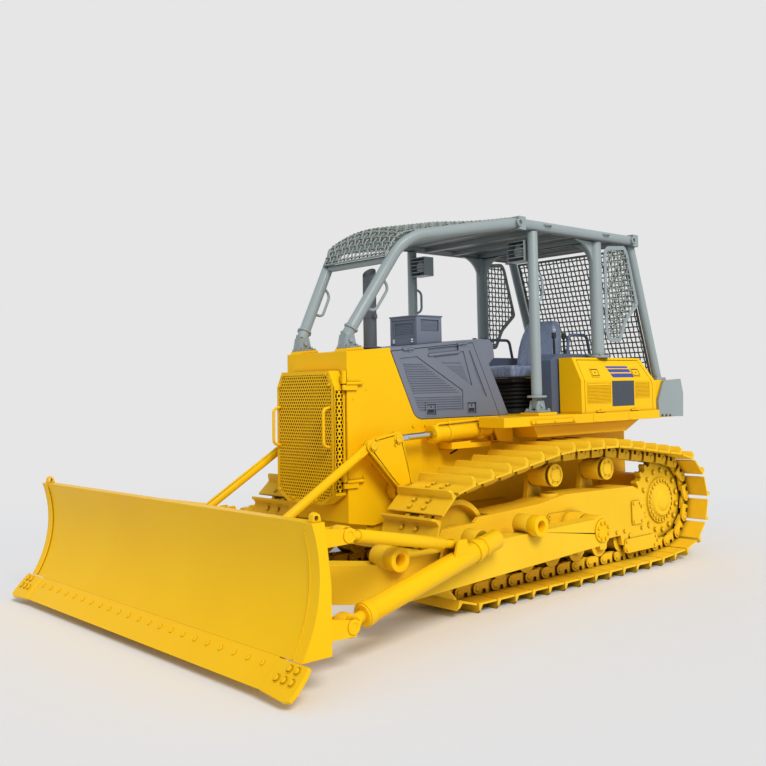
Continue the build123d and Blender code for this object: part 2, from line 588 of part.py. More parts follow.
with BuildPart() as intake_box:
    intake_line = [(INTAKE_FRONT_X, hood_z(INTAKE_FRONT_X)), (INTAKE_FRONT_X, INTAKE_TOP_Z)]
    intake_line += [(INTAKE_REAR_X, INTAKE_TOP_Z), (INTAKE_REAR_X, hood_z(INTAKE_REAR_X))]
    side_plate(intake_line, -INTAKE_HALF, INTAKE_HALF)
    lid_y = INTAKE_HALF + LID_OVERHANG
    lid_z = (INTAKE_TOP_Z - LID_SHEET, INTAKE_TOP_Z)
    block((INTAKE_REAR_X - LID_OVERHANG, INTAKE_FRONT_X + LID_OVERHANG), (-lid_y, lid_y), lid_z)
    recess_z = (hood_z(INTAKE_FRONT_X) + 60, INTAKE_TOP_Z - 40)
    recess_y = (-INTAKE_HALF + 30, INTAKE_HALF - 30)
    block((INTAKE_FRONT_X - INTAKE_RECESS, INTAKE_FRONT_X + 5), recess_y, recess_z, mode=Mode.SUBTRACT)
    window_x = (INTAKE_REAR_X + 38, INTAKE_FRONT_X - 50)
    window_z = (INTAKE_TOP_Z - 140, INTAKE_TOP_Z - 40)
    for side in (-1, 1):
        window_y = sorted((side * (INTAKE_HALF - INTAKE_RECESS), side * (INTAKE_HALF + 5)))
        block(window_x, window_y, window_z, mode=Mode.SUBTRACT)

with BuildPart() as lower_panels:
    panel_line = [(PANEL_SEAM_X, PANEL_FOOT_Z), (PANEL_SEAM_X, DOOR_FOOT_Z)]
    panel_line += [(DOOR_FOOT_REAR_X, DOOR_FOOT_Z), (DOOR_FOOT_REAR_X, PANEL_FOOT_Z)]
    side_plate(panel_line, HULL_HALF, HOOD_HALF)
    cheeks = (LINK_Y - LINK_GAP_HALF - CRANK_SHEET, LINK_Y + LINK_GAP_HALF)
    bracket = [(-520, 1200), (-520, 1395), (-330, 1405), (-270, 1330), (-330, 1220)]
    side_plate(bracket, HOOD_HALF, LINK_Y + LINK_GAP_HALF + CRANK_SHEET)
    ram_guard = [(-250, 1180), (230, 1180), (230, 1236), (-250, 1246)]
    side_plate(ram_guard, HOOD_HALF, LINK_Y + LINK_GAP_HALF)
    room_z = (BARREL_EYE_Z - 120, BARREL_EYE_Z + 120)
    gap_y = (LINK_Y - LINK_GAP_HALF, LINK_Y + LINK_GAP_HALF)
    block((BARREL_EYE_X - 75, 0), gap_y, room_z, mode=Mode.SUBTRACT)
    block((BARREL_EYE_X - 75, 0), (HOOD_HALF, cheeks[0]), room_z, mode=Mode.SUBTRACT)
    disc_y(BARREL_EYE_X, BARREL_EYE_Z, *gap_y, BARREL_PIN_R)
    mirror(about=Plane.XZ)

# Plain corner of an engine door behind its front field
door_heel = [(DOOR_FIELD_REAR_X, DOOR_FOOT_Z), (DOOR_FIELD_REAR_X, DOOR_FOOT_Z + 240)]
door_heel += [(DOOR_FOOT_REAR_X, DOOR_FOOT_Z)]

# Engine doors: gull wings hung on the hood's edge
with BuildPart() as engine_door_left:
    with BuildSketch(side_plane(HOOD_HALF)):
        add(door_face())
        offset(amount=-PANEL_GAP, kind=Kind.INTERSECTION, mode=Mode.REPLACE)
    extrude(amount=SHEET)
    rib_top_x = HOOD_FRONT_X - DOOR_RIB_SETBACK
    rib_line = ((rib_top_x, hood_z(rib_top_x)), (DOOR_FOOT_REAR_X, DOOR_FOOT_Z))
    bar_top_x = HOOD_REAR_X + COWL_FRAME + DOOR_BAR_TOP
    bar_line = ((bar_top_x, hood_z(bar_top_x)), (bar_top_x - DOOR_BAR_LEAN, DOOR_FOOT_Z + 200))
    with BuildSketch(side_plane(HOOD_HALF)):
        add(door_face())
        offset(amount=-DOOR_MARGIN, kind=Kind.INTERSECTION, mode=Mode.REPLACE)
        for strip in (band(*rib_line, DOOR_RIB), band(*bar_line, DOOR_BAR), door_heel):
            with BuildLine():
                Polyline(*strip, close=True)
            make_face(mode=Mode.SUBTRACT)
    extrude(amount=DOOR_FIELD_DEPTH, mode=Mode.SUBTRACT)
    grip = [(x, hood_z(x, drop)) for drop, ends in zip(GRIP_DROP, (1, -1)) for x in GRIP_X[::ends]]
    side_plate(grip, HOOD_HALF - GRIP_DEPTH, HOOD_HALF + 5, mode=Mode.SUBTRACT)
    for latch_x in LATCH_X:
        latch_z = DOOR_FOOT_Z + DOOR_MARGIN / 2
        latch_span = (latch_x - LATCH_SIZE[0] / 2, latch_x + LATCH_SIZE[0] / 2)
        latch_y = (HOOD_HALF - LATCH_DEPTH, HOOD_HALF + 5)
        block(latch_span, latch_y, (latch_z, latch_z + LATCH_SIZE[1]), mode=Mode.SUBTRACT)
    for hinge_x in DOOR_HINGE_X:
        near, far = hinge_x - DOOR_HINGE_GAP, hinge_x - DOOR_HINGE_LENGTH
        rod(door_hinge_point(far), door_hinge_point(near), DOOR_HINGE_R)
        door_leaf(far, near, -1)
        bore_r = DOOR_HINGE_PIN_R + PIVOT_CLEARANCE
        rod(door_hinge_point(far - 5), door_hinge_point(near + 5), bore_r, mode=Mode.SUBTRACT)

with BuildPart() as engine_door_right:
    mirror(engine_door_left.part, about=Plane.XZ)

# Grille door in front of the radiator
grille_line = [
    (-GRILLE_HALF + 145, GRILLE_FOOT_Z),
    (GRILLE_HALF - 145, GRILLE_FOOT_Z),
    (GRILLE_HALF, GRILLE_FOOT_Z + 80),
    (GRILLE_HALF, GRILLE_TOP_Z - 125),
    (GRILLE_HALF - 70, GRILLE_TOP_Z),
    (-GRILLE_HALF + 70, GRILLE_TOP_Z),
    (-GRILLE_HALF, GRILLE_TOP_Z - 125),
    (-GRILLE_HALF, GRILLE_FOOT_Z + 80),
]
with BuildPart() as radiator_grille:
    with BuildSketch(Plane.YZ.offset(GRILLE_X)):
        with BuildLine():
            Polyline(*grille_line, close=True)
        make_face()
    extrude(amount=GRILLE_DEPTH)
    with BuildSketch(Plane.YZ.offset(GRILLE_X)) as hollow:
        with BuildLine():
            Polyline(*grille_line, close=True)
        make_face()
        offset(amount=-GRILLE_SHEET, kind=Kind.INTERSECTION, mode=Mode.REPLACE)
    extrude(amount=GRILLE_DEPTH - GRILLE_SHEET, mode=Mode.SUBTRACT)
    column_step = 2 * (GRILLE_HALF - 50) / GRILLE_COLUMNS
    row_step = (GRILLE_TOP_Z - GRILLE_FOOT_Z - 290) / GRILLE_ROWS
    middle_z = (GRILLE_FOOT_Z + GRILLE_TOP_Z) / 2 - 15
    with BuildSketch(Plane.YZ.offset(GRILLE_X + GRILLE_DEPTH)):
        with Locations((0, middle_z)):
            with GridLocations(column_step, row_step, GRILLE_COLUMNS, GRILLE_ROWS):
                RegularPolygon(GRILLE_HOLE / 2, 6)
    extrude(amount=-2 * GRILLE_SHEET, mode=Mode.SUBTRACT)
    for hinge_z in HINGE_Z:
        foot_z = hinge_z + HINGE_HEIGHT + PIVOT_CLEARANCE
        leaf_z = (foot_z, hinge_z + 2 * HINGE_HEIGHT)
        block((HINGE_X - HINGE_R, HINGE_X + HINGE_R), (GRILLE_HALF - GRILLE_SHEET, HINGE_Y), leaf_z)
        with Locations((HINGE_X, HINGE_Y, foot_z)):
            height = leaf_z[1] - foot_z
            bottom = (Align.CENTER, Align.CENTER, Align.MIN)
            Cylinder(HINGE_R, height, align=bottom)
            Cylinder(HINGE_PIN_R + PIVOT_CLEARANCE, height, align=bottom, mode=Mode.SUBTRACT)
    handle_x = GRILLE_X + GRILLE_DEPTH
    for handle_y in (-GRILLE_HALF + 40, GRILLE_HALF - 40):
        handle = [(handle_x - 5, handle_y, 1250), (handle_x + 70, handle_y, 1280)]
        handle += [(handle_x + 70, handle_y, 1530), (handle_x - 5, handle_y, 1560)]
        for start, end in zip(handle, handle[1:]):
            rod(start, end, 11)

# Deck with the fender supports below it
with BuildPart() as deck:
    notch = HOOD_HALF + PANEL_GAP
    notch_x = DOOR_FOOT_REAR_X - 3
    ram_notch = LINK_Y + BARREL_R + 22
    deck_line = [(DECK_REAR_X, 0), (DECK_REAR_X, DECK_HALF), (DECK_FRONT_X, DECK_HALF)]
    deck_line += [(DECK_FRONT_X, ram_notch), (DECK_NOTCH_X, ram_notch), (DECK_NOTCH_X, notch)]
    deck_line += [(notch_x, notch), (notch_x, 0)]
    for side in (-1, 1):
        floor_plate([(x, side * y) for x, y in deck_line], DECK_FOOT_Z, DECK_Z)
        pad_y = sorted((side * (POST_Y - POST_PAD_HALF), side * (POST_Y + POST_PAD_HALF)))
        pad_x = (FRONT_POST_X - POST_PAD_HALF - 40, FRONT_POST_X + POST_PAD_HALF)
        block(pad_x, pad_y, (DECK_Z, DECK_Z + POST_PAD))
        block(STEP_X, sorted((side * DECK_HALF, side * (DECK_HALF + STEP_WIDTH))), STEP_Z)
    support = [(-2170, DECK_FOOT_Z), (-1930, 1240), (DECK_NOTCH_X - 60, 1240), (DECK_NOTCH_X, DECK_FOOT_Z)]
    for side in (-1, 1):
        inner, outer = sorted((side * notch, side * (DECK_HALF - 120)))
        side_plate(support, inner, outer)

# Cowl between the engine bay and the operator
with BuildPart() as dash_console:
    cowl = [(HOOD_REAR_X, HOOD_REAR_Z), (HOOD_REAR_X, HOOD_REAR_Z - HOOD_SHEET)]
    cowl += [(DOOR_FOOT_REAR_X - 3, DECK_Z), (DOOR_FOOT_REAR_X - 60, DECK_Z), (-425, 1900), (-500, 1960)]
    cowl += [(-480, 2090), (-430, HOOD_REAR_Z)]
    side_plate(cowl, -HOOD_HALF, HOOD_HALF)
    cowl_frame = door_corners[2:] + cowl[1:3]
    side_plate(cowl_frame, -HOOD_HALF, -HULL_HALF)
    side_plate(cowl_frame, HULL_HALF, HOOD_HALF)

def box_run(points, inset, shrink=0):
    """A fender box's profile run from rear to front, its rear corner sloped, the ends moved in by inset."""
    bevel_out = (BOX_BEVEL_Z - BOX_TOP_Z, 0, BOX_BEVEL_X - BOX_REAR_X)
    bevel = Plane(origin=(BOX_REAR_X, 0, BOX_BEVEL_Z), x_dir=(0, 1, 0), z_dir=bevel_out)
    with BuildPart() as run:
        with BuildSketch(Plane.YZ.offset(BOX_REAR_X + inset)):
            with BuildLine():
                Polyline(*points, close=True)
            make_face()
            if shrink:
                offset(amount=-shrink, kind=Kind.INTERSECTION, mode=Mode.REPLACE)
        extrude(amount=BOX_FRONT_X - BOX_REAR_X - 2 * inset)
        split(bisect_by=bevel.offset(-inset), keep=Keep.BOTTOM)
    return run.part


# Fender boxes: hollow, with the outer face left open for the door
box_line = [(BOX_IN_Y, DECK_Z), (BOX_OUT_Y, DECK_Z), (BOX_OUT_Y, BOX_FOLD_Z), (BOX_TOP_Y, BOX_TOP_Z)]
box_line += [(BOX_IN_Y, BOX_TOP_Z)]
box_axis = (BOX_OUT_Y + DOOR_HINGE_R, DECK_Z + BOX_SILL + SEAT_GAP / 2)
box_leaf_y = (BOX_OUT_Y, BOX_OUT_Y + DOOR_LEAF[0])
box_mouth = [(BOX_OUT_Y - 2 * BOX_WALL, DECK_Z + BOX_SILL), (BOX_OUT_Y + 10, DECK_Z + BOX_SILL)]
box_mouth += [(BOX_OUT_Y + 10, BOX_TOP_Z - 20), (BOX_TOP_Y - 60, BOX_TOP_Z - 20)]
box_mouth += [(BOX_OUT_Y - 2 * BOX_WALL, BOX_FOLD_Z)]
box_shell = box_run(box_line, 0)
box_hollow = box_run(box_line, BOX_WALL, shrink=BOX_WALL)
box_opening = box_run(box_mouth, BOX_FRAME)
with BuildPart() as fender_boxes:
    add(box_shell)
    add(box_hollow, mode=Mode.SUBTRACT)
    add(box_opening, mode=Mode.SUBTRACT)
    for hinge_x in BOX_HINGE_X:
        knuckle_x, pin_x = hinge_x + DOOR_HINGE_LENGTH, hinge_x - DOOR_HINGE_LENGTH
        rod((hinge_x, *box_axis), (knuckle_x, *box_axis), DOOR_HINGE_R)
        rod((pin_x, *box_axis), (knuckle_x, *box_axis), DOOR_HINGE_PIN_R)
        block((hinge_x, knuckle_x), box_leaf_y, (DECK_Z + 1, box_axis[1]))
    mirror(about=Plane.XZ)

lean = (BOX_OUT_Y - BOX_TOP_Y) / (BOX_TOP_Z - BOX_FOLD_Z)
head_z = BOX_TOP_Z - 20 - PANEL_GAP
head_y = BOX_OUT_Y - lean * (head_z - BOX_FOLD_Z)
foot_z = DECK_Z + BOX_SILL + SEAT_GAP
panel = [(BOX_OUT_Y, foot_z), (BOX_OUT_Y, BOX_FOLD_Z), (head_y, head_z), (head_y - BOX_WALL, head_z)]
panel += [(BOX_OUT_Y - BOX_WALL, BOX_FOLD_Z), (BOX_OUT_Y - BOX_WALL, foot_z)]
box_panel = box_run(panel, BOX_FRAME + PANEL_GAP)
with BuildPart() as fender_door_left:
    add(box_panel)
    for hinge_x in BOX_HINGE_X:
        near, far = hinge_x - DOOR_HINGE_GAP, hinge_x - DOOR_HINGE_LENGTH
        rod((far, *box_axis), (near, *box_axis), DOOR_HINGE_R)
        block((far, near), box_leaf_y, (box_axis[1], box_axis[1] + DOOR_LEAF[1]))
        bore_r = DOOR_HINGE_PIN_R + PIVOT_CLEARANCE
        rod((far - 5, *box_axis), (near + 5, *box_axis), bore_r, mode=Mode.SUBTRACT)

with BuildPart() as fender_door_right:
    mirror(fender_door_left.part, about=Plane.XZ)

# Fuel tank across the rear, with the screen's side plates on its ends
with BuildPart() as fuel_tank:
    block((TANK_REAR_X, DECK_REAR_X), (-TANK_HALF, TANK_HALF), (DECK_FOOT_Z, TANK_TOP_Z))
    fillet(fuel_tank.edges().filter_by(Axis.Y).sort_by(Axis.X)[:2], 60)

with BuildPart() as rear_plates:
    wing = [(-2445, 1364), (-2440, 1520), (-2554, 1721), (-2864, 1737), (-2904, 1584), (-2886, 1348)]
    side_plate(wing, TANK_HALF, TANK_HALF + 30)
    for scallop_x in (-2500, -2565, -2640):
        disc_y(scallop_x, 1356, TANK_HALF - 1, TANK_HALF + 31, 16, mode=Mode.SUBTRACT)
    mirror(about=Plane.XZ)

# Operator's seat, consoles and levers
with BuildPart() as seat_base:
    block((SEAT_X[0] + 60, SEAT_X[1] - 60), (-SEAT_HALF + 50, SEAT_HALF - 50), (DECK_Z, SEAT_FOOT_Z))

with BuildPart() as seat_cushion:
    block(SEAT_X, (-SEAT_HALF, SEAT_HALF), (SEAT_FOOT_Z, SEAT_TOP_Z))
    fillet(seat_cushion.edges().filter_by(Axis.Z), 60)

with BuildPart() as seat_back:
    lean_line = [(SEAT_X[0] - 140, SEAT_FOOT_Z), (SEAT_X[0] - SEAT_GAP, SEAT_FOOT_Z)]
    lean_line += [(SEAT_X[0] - SEAT_GAP, SEAT_TOP_Z), (SEAT_X[0] - 130, SEAT_BACK_Z)]
    lean_line += [(SEAT_X[0] - 250, SEAT_BACK_Z)]
    side_plate(lean_line, -SEAT_HALF + 10, SEAT_HALF - 10)

with BuildPart() as consoles:
    console_line = [(CONSOLE_X[0], DECK_Z), (CONSOLE_X[1], DECK_Z), (CONSOLE_X[1], CONSOLE_TOP_Z - 60)]
    console_line += [(CONSOLE_X[1] - 120, CONSOLE_TOP_Z), (CONSOLE_X[0], CONSOLE_TOP_Z)]
    side_plate(console_line, *CONSOLE_Y)
    loop_y = CONSOLE_Y[0] + 90
    loop = [(CONSOLE_X[0] + 120, loop_y, CONSOLE_TOP_Z - 10)]
    loop += [(CONSOLE_X[0] + 170, loop_y, CONSOLE_TOP_Z + CONSOLE_LOOP)]
    loop += [(CONSOLE_X[0] + 450, loop_y, CONSOLE_TOP_Z + CONSOLE_LOOP)]
    loop += [(CONSOLE_X[0] + 480, loop_y, CONSOLE_TOP_Z - 10)]
    bent_tube(loop, HANDLE_BEND, HANDLE_R + 3)
    mirror(about=Plane.XZ)

with BuildPart() as levers:
    for lever_x in (CONSOLE_X[1] - 180, CONSOLE_X[1] - 330):
        console_y = (CONSOLE_Y[0] + CONSOLE_Y[1]) / 2
        rod((lever_x, console_y, CONSOLE_TOP_Z), (lever_x, console_y, CONSOLE_TOP_Z + 170), 11)
        rod((lever_x, console_y, CONSOLE_TOP_Z + 150), (lever_x, console_y, CONSOLE_TOP_Z + 205), 22)
    mirror(about=Plane.XZ)

# Canopy posts on the deck and on the fender boxes
with BuildPart() as canopy_posts:
    post_top = RAIL_Z - RAIL_R - SEAT_GAP
    post_foot = DECK_Z + POST_PAD
    collar_z = post_foot + POST_CLEVIS
    rod((FRONT_POST_X, POST_Y, collar_z), (FRONT_POST_X, POST_Y, post_top), FRONT_POST_R)
    rod((FRONT_POST_X, POST_Y, collar_z), (FRONT_POST_X, POST_Y, collar_z + POST_COLLAR), FRONT_POST_R + 40)
    foot_x, foot_y = (FRONT_POST_X - 100, FRONT_POST_X + 85), (POST_Y - 75, POST_Y + 75)
    block(foot_x, foot_y, (post_foot, post_foot + POST_COLLAR))
    clevis = [(FRONT_POST_X - 65, post_foot), (FRONT_POST_X + 65, post_foot)]
    clevis += [(FRONT_POST_X + 38, post_foot + 105), (FRONT_POST_X - 38, post_foot + 105)]
    for cheek_y in (POST_Y - CLEVIS_GAP_HALF - CLEVIS_CHEEK, POST_Y + CLEVIS_GAP_HALF):
        side_plate(clevis, cheek_y, cheek_y + CLEVIS_CHEEK)
    tongue_x = (FRONT_POST_X - CLEVIS_GAP_HALF - 10, FRONT_POST_X + CLEVIS_GAP_HALF + 10)
    tongue_y = (POST_Y - CLEVIS_GAP_HALF, POST_Y + CLEVIS_GAP_HALF)
    block(tongue_x, tongue_y, (post_foot + 30, collar_z))
    pin_half = CLEVIS_GAP_HALF + CLEVIS_CHEEK + 14
    disc_y(FRONT_POST_X, post_foot + POST_CLEVIS / 2, POST_Y - pin_half, POST_Y + pin_half, CLEVIS_PIN_R)
    handle_x = FRONT_POST_X - HANDLE_OUT
    handle = [(FRONT_POST_X, POST_Y, POST_HANDLE_Z[0]), (handle_x, POST_Y, POST_HANDLE_Z[0] + 45)]
    handle += [(handle_x, POST_Y, POST_HANDLE_Z[1] - 45), (FRONT_POST_X, POST_Y, POST_HANDLE_Z[1])]
    bent_tube(handle, HANDLE_BEND, HANDLE_R)
    rod((REAR_POST_X, POST_Y - 45, BOX_TOP_Z), (REAR_POST_X, POST_Y - 45, post_top), REAR_POST_R)
    rod((REAR_POST_X, POST_Y - 45, BOX_TOP_Z), (REAR_POST_X, POST_Y - 45, BOX_TOP_Z + 26), REAR_POST_R + 40)
    for plane, across in (
        (side_plane(POST_Y - 45 + GUSSET_SHEET / 2), REAR_POST_X),
        (Plane.YZ.offset(REAR_POST_X - GUSSET_SHEET / 2), -(POST_Y - 45)),
    ):
        away = across + GUSSET_REACH + REAR_POST_R
        near = across + REAR_POST_R - 10
        turn = 1 if across == REAR_POST_X else -1
        with BuildSketch(plane):
            with BuildLine():
                Line((turn * near, post_top), (turn * away, post_top))
                TangentArc((turn * away, post_top), (turn * near, post_top - GUSSET_DROP), tangent=(-turn, 0))
                Line((turn * near, post_top - GUSSET_DROP), (turn * near, post_top))
            make_face()
        extrude(amount=GUSSET_SHEET)
    mirror(about=Plane.XZ)

# Canopy roof: side rails, cross rails, corner blocks and the plate
with BuildPart() as canopy_roof:
    for side in (-1, 1):
        rod((RAIL_REAR_X, side * RAIL_Y, RAIL_Z), (RAIL_FRONT_X - 40, side * RAIL_Y, RAIL_Z), RAIL_R)
        inner, outer = sorted((side * (RAIL_Y - 55), side * (RAIL_Y + 55)))
        block((RAIL_FRONT_X - 90, RAIL_FRONT_X), (inner, outer), (RAIL_Z - 60, RAIL_Z + 60))
        block((RAIL_REAR_X - 90, RAIL_REAR_X), (inner, outer), (RAIL_Z - 60, RAIL_Z + 60))
    for cross_x in (RAIL_FRONT_X - 45, RAIL_REAR_X - 45):
        rod((cross_x, -RAIL_Y, RAIL_Z), (cross_x, RAIL_Y, RAIL_Z), RAIL_R - 10)
    block((RAIL_REAR_X - 45, RAIL_FRONT_X - 45), (-RAIL_Y, RAIL_Y), (RAIL_Z, RAIL_Z + ROOF_SHEET))
    block((REAR_POST_X - 45, REAR_POST_X + 45), (-RAIL_Y, RAIL_Y), (RAIL_Z - RAIL_R, RAIL_Z))
    for rib_share in (0.25, 0.48):
        rib_x = RAIL_FRONT_X + rib_share * (RAIL_REAR_X - RAIL_FRONT_X)
        block((rib_x - 30, rib_x + 30), (-RAIL_Y, RAIL_Y), (RAIL_Z - RAIL_R + 10, RAIL_Z))

# Front sweeps from the radiator guard up to the canopy's corners, each in an upright plane
sweep_slope = (RAIL_Y - SWEEP_FOOT[1]) / (SWEEP_FOOT[0] - RAIL_FRONT_X)


def sweep_y(x):
    """Distance of a sweep's centre line from the middle of the machine."""
    return SWEEP_FOOT[1] + sweep_slope * (SWEEP_FOOT[0] - x)


with BuildPart() as front_sweeps:
    tail_slope = (RAIL_Z - SWEEP_KNEE_Z) / (SWEEP_KNEE_X - RAIL_FRONT_X)
    tail_z = SWEEP_KNEE_Z + tail_slope * (SWEEP_KNEE_X - SWEEP_TAIL_X)
    sweep_line = [SWEEP_FOOT, (SWEEP_KNEE_X, sweep_y(SWEEP_KNEE_X), SWEEP_KNEE_Z)]
    sweep_line += [(SWEEP_TAIL_X, sweep_y(SWEEP_TAIL_X), tail_z)]
    bent_tube(sweep_line, SWEEP_BEND, SWEEP_R)
    block((SWEEP_TAIL_X - 200, RAIL_FRONT_X), (0, 1200), (2500, 3500), mode=Mode.SUBTRACT)
    foot_x, foot_y, foot_z = SWEEP_FOOT
    lug_line = [(foot_x - 55, GUARD_FRONT_Z), (foot_x + 50, GUARD_FRONT_Z), (foot_x + 38, foot_z + 40)]
    lug_line += [(foot_x - 45, foot_z + 70)]
    side_plate(lug_line, foot_y - SWEEP_LUG_HALF, foot_y + SWEEP_LUG_HALF)
    cheek_line = [(foot_x - 78, GUARD_FRONT_Z), (foot_x + 62, GUARD_FRONT_Z), (foot_x + 34, foot_z + 12)]
    cheek_line += [(foot_x - 44, foot_z + 18)]
    for cheek_y in (foot_y - SWEEP_LUG_HALF - SWEEP_CHEEK, foot_y + SWEEP_LUG_HALF):
        side_plate(cheek_line, cheek_y, cheek_y + SWEEP_CHEEK)
    pin_half = SWEEP_LUG_HALF + SWEEP_CHEEK + 14
    disc_y(foot_x - 6, foot_z - 32, foot_y - pin_half, foot_y + pin_half, SWEEP_PIN_R)
    base_x = (foot_x - SWEEP_PAD_LENGTH + 10, foot_x + SWEEP_PAD_LENGTH - 60)
    base_line = [(x, guard_top_z(x, SWEEP_PAD)) for x in base_x]
    base_line += [(x, guard_top_z(x, SWEEP_PAD + 14)) for x in base_x[::-1]]
    side_plate(base_line, foot_y - SWEEP_PAD_HALF + 8, foot_y + SWEEP_PAD_HALF - 8)
    sweep_rise = Vector(SWEEP_KNEE_X - foot_x, sweep_y(SWEEP_KNEE_X) - foot_y, SWEEP_KNEE_Z - foot_z)
    sweep_way = sweep_rise.normalized()
    rod(Vector(*SWEEP_FOOT) + sweep_way * 70, Vector(*SWEEP_FOOT) + sweep_way * 88, SWEEP_R + 12)
    under = Vector(-sweep_way.Z, 0, sweep_way.X) * HANDLE_OUT
    grip_low, grip_high = Vector(*SWEEP_FOOT) + sweep_rise * 0.28, Vector(*SWEEP_FOOT) + sweep_rise * 0.60
    grip_line = [grip_low, grip_low + under + sweep_way * 45, grip_high + under - sweep_way * 45, grip_high]
    bent_tube(grip_line, HANDLE_BEND, HANDLE_R)
    guard_top = [(HOOD_FRONT_X, guard_top_z(HOOD_FRONT_X, SWEEP_PAD)), (HOOD_FRONT_X, 1800)]
    guard_top += [(GUARD_FRONT_X, 1800), (GUARD_FRONT_X, guard_top_z(GUARD_FRONT_X, SWEEP_PAD))]
    side_plate(guard_top, 0, 1000, mode=Mode.SUBTRACT)
    mirror(about=Plane.XZ)
    rise = (SWEEP_KNEE_Z - foot_z) / (foot_x - SWEEP_KNEE_X)
    cross_x = foot_x - (CROSS_TUBE_Z - foot_z) / rise
    rod((cross_x, -sweep_y(cross_x), CROSS_TUBE_Z), (cross_x, sweep_y(cross_x), CROSS_TUBE_Z), 30)

# Screens: open grids in place of wire mesh
with BuildPart() as front_mesh:
    knee = (SWEEP_KNEE_X - 40, SWEEP_KNEE_Z - 70)
    mesh_span = (CROSS_TUBE_Z - 200, RAIL_Z + 200)
    mesh_line = [(cross_x - 32, CROSS_TUBE_Z + 20), knee, (RAIL_FRONT_X, RAIL_Z - 6)]
    mesh_line += [(RAIL_FRONT_X, RAIL_Z + 6), (knee[0], knee[1] + 14), (cross_x - 32, CROSS_TUBE_Z + 34)]
    side_plate(mesh_line, -1000, 1000)
    reach = SWEEP_R * hypot(1, sweep_slope) + 0.5
    for side in (-1, 1):
        wedge = [(x, side * (sweep_y(x) - reach)) for x in (cross_x + 200, RAIL_FRONT_X - 50)]
        wedge += [(RAIL_FRONT_X - 50, side * 1100), (cross_x + 200, side * 1100)]
        floor_plate(wedge, *mesh_span, mode=Mode.SUBTRACT)
    with BuildSketch(Plane.XY.offset(mesh_span[0])):
        with Locations(((cross_x + RAIL_FRONT_X) / 2 - 10, 0)):
            with GridLocations(140, 125, 8, 5):
                Rectangle(118, 103)
    extrude(amount=mesh_span[1] - mesh_span[0], mode=Mode.SUBTRACT)

with BuildPart() as rear_sweeps:
    head = (RAIL_REAR_X - 45, RAIL_Y - 20, RAIL_Z - 60 - SEAT_GAP)
    foot = (REAR_SWEEP_FOOT[0], REAR_SWEEP_FOOT[1], TANK_TOP_Z)
    rod((head[0] + 30, head[1], head[2] + 100), (foot[0] - 30, foot[1], foot[2] - 100), REAR_SWEEP_R)
    block((-4000, 0), (0, 1200), (RAIL_Z - 60 - SEAT_GAP, 4000), mode=Mode.SUBTRACT)
    block((-4000, 0), (0, 1200), (0, TANK_TOP_Z), mode=Mode.SUBTRACT)
    block((foot[0] - 80, foot[0] + 80), (foot[1] - 60, TANK_HALF), (TANK_TOP_Z, TANK_TOP_Z + 24))
    mirror(about=Plane.XZ)

with BuildPart() as rear_mesh:
    drop = (head[0] - foot[0]) / (head[2] - foot[2])
    low_z, high_z = TANK_TOP_Z, RAIL_Z - 70
    low_x, high_x = foot[0], foot[0] + drop * (high_z - foot[2])
    screen = [(low_x - 5, low_z), (low_x + 5, low_z), (high_x + 5, high_z), (high_x - 5, high_z)]
    screen_half = REAR_SWEEP_FOOT[1] - 60 - 1
    side_plate(screen, -screen_half, screen_half)
    with BuildSketch(Plane.YZ.offset(-3000)):
        with Locations((0, (low_z + high_z) / 2)):
            with GridLocations(155, 155, 9, 8):
                Rectangle(133, 133)
    extrude(amount=1500, mode=Mode.SUBTRACT)

with BuildPart() as quarter_guards:
    guard_y = POST_Y - 45 + REAR_POST_R + SEAT_GAP
    quarter = [(-1643, RAIL_Z - 117), (-1958, RAIL_Z - 79), (-2150, 2443), (-1911, 2302), (-1864, 2101)]
    quarter += [(-1679, 2098), (-1570, 2183), (-1589, RAIL_Z - 348)]
    side_plate(quarter, guard_y, guard_y + 8)
    with BuildSketch(side_plane(guard_y + 10)) as windows:
        with BuildLine():
            Polyline(*quarter, close=True)
        make_face()
        offset(amount=-45, kind=Kind.INTERSECTION, mode=Mode.REPLACE)
        with Locations((-1800, 2550)):
            with GridLocations(110, 110, 7, 10):
                Rectangle(90, 90, mode=Mode.INTERSECT)
    extrude(amount=20, mode=Mode.SUBTRACT)
    mirror(about=Plane.XZ)

with BuildPart() as work_lamps:
    lamp_y = POST_Y - FRONT_POST_R - SEAT_GAP
    lamp_x = FRONT_POST_X
    lamp_z = (LAMP_FOOT_Z, LAMP_FOOT_Z + LAMP_SIZE[2])
    lamp_back, lamp_front = lamp_x - LAMP_SIZE[0] / 2, lamp_x + LAMP_SIZE[0] / 2
    block((lamp_back, lamp_front), (lamp_y - LAMP_SIZE[1], lamp_y), lamp_z)
    hollow_y = (lamp_y - LAMP_SIZE[1] + LAMP_WALL, lamp_y - LAMP_WALL)
    hollow_z = (lamp_z[0] + LAMP_WALL, lamp_z[1] - LAMP_WALL)
    block((lamp_back + LAMP_WALL, lamp_front + 10), hollow_y, hollow_z, mode=Mode.SUBTRACT)
    slat_step = (LAMP_SIZE[2] - LAMP_WALL) / LAMP_SLATS
    for index in range(1, LAMP_SLATS):
        slat_z = lamp_z[0] + index * slat_step
        block((lamp_front - 30, lamp_front), (lamp_y - LAMP_SIZE[1], lamp_y), (slat_z, slat_z + LAMP_WALL))
    lamp_middle = (lamp_y - LAMP_SIZE[1] / 2, lamp_z[0] + LAMP_SIZE[2] / 2)
    rod((lamp_back, *lamp_middle), (lamp_front - 45, *lamp_middle), LAMP_R)
    mirror(about=Plane.XZ)

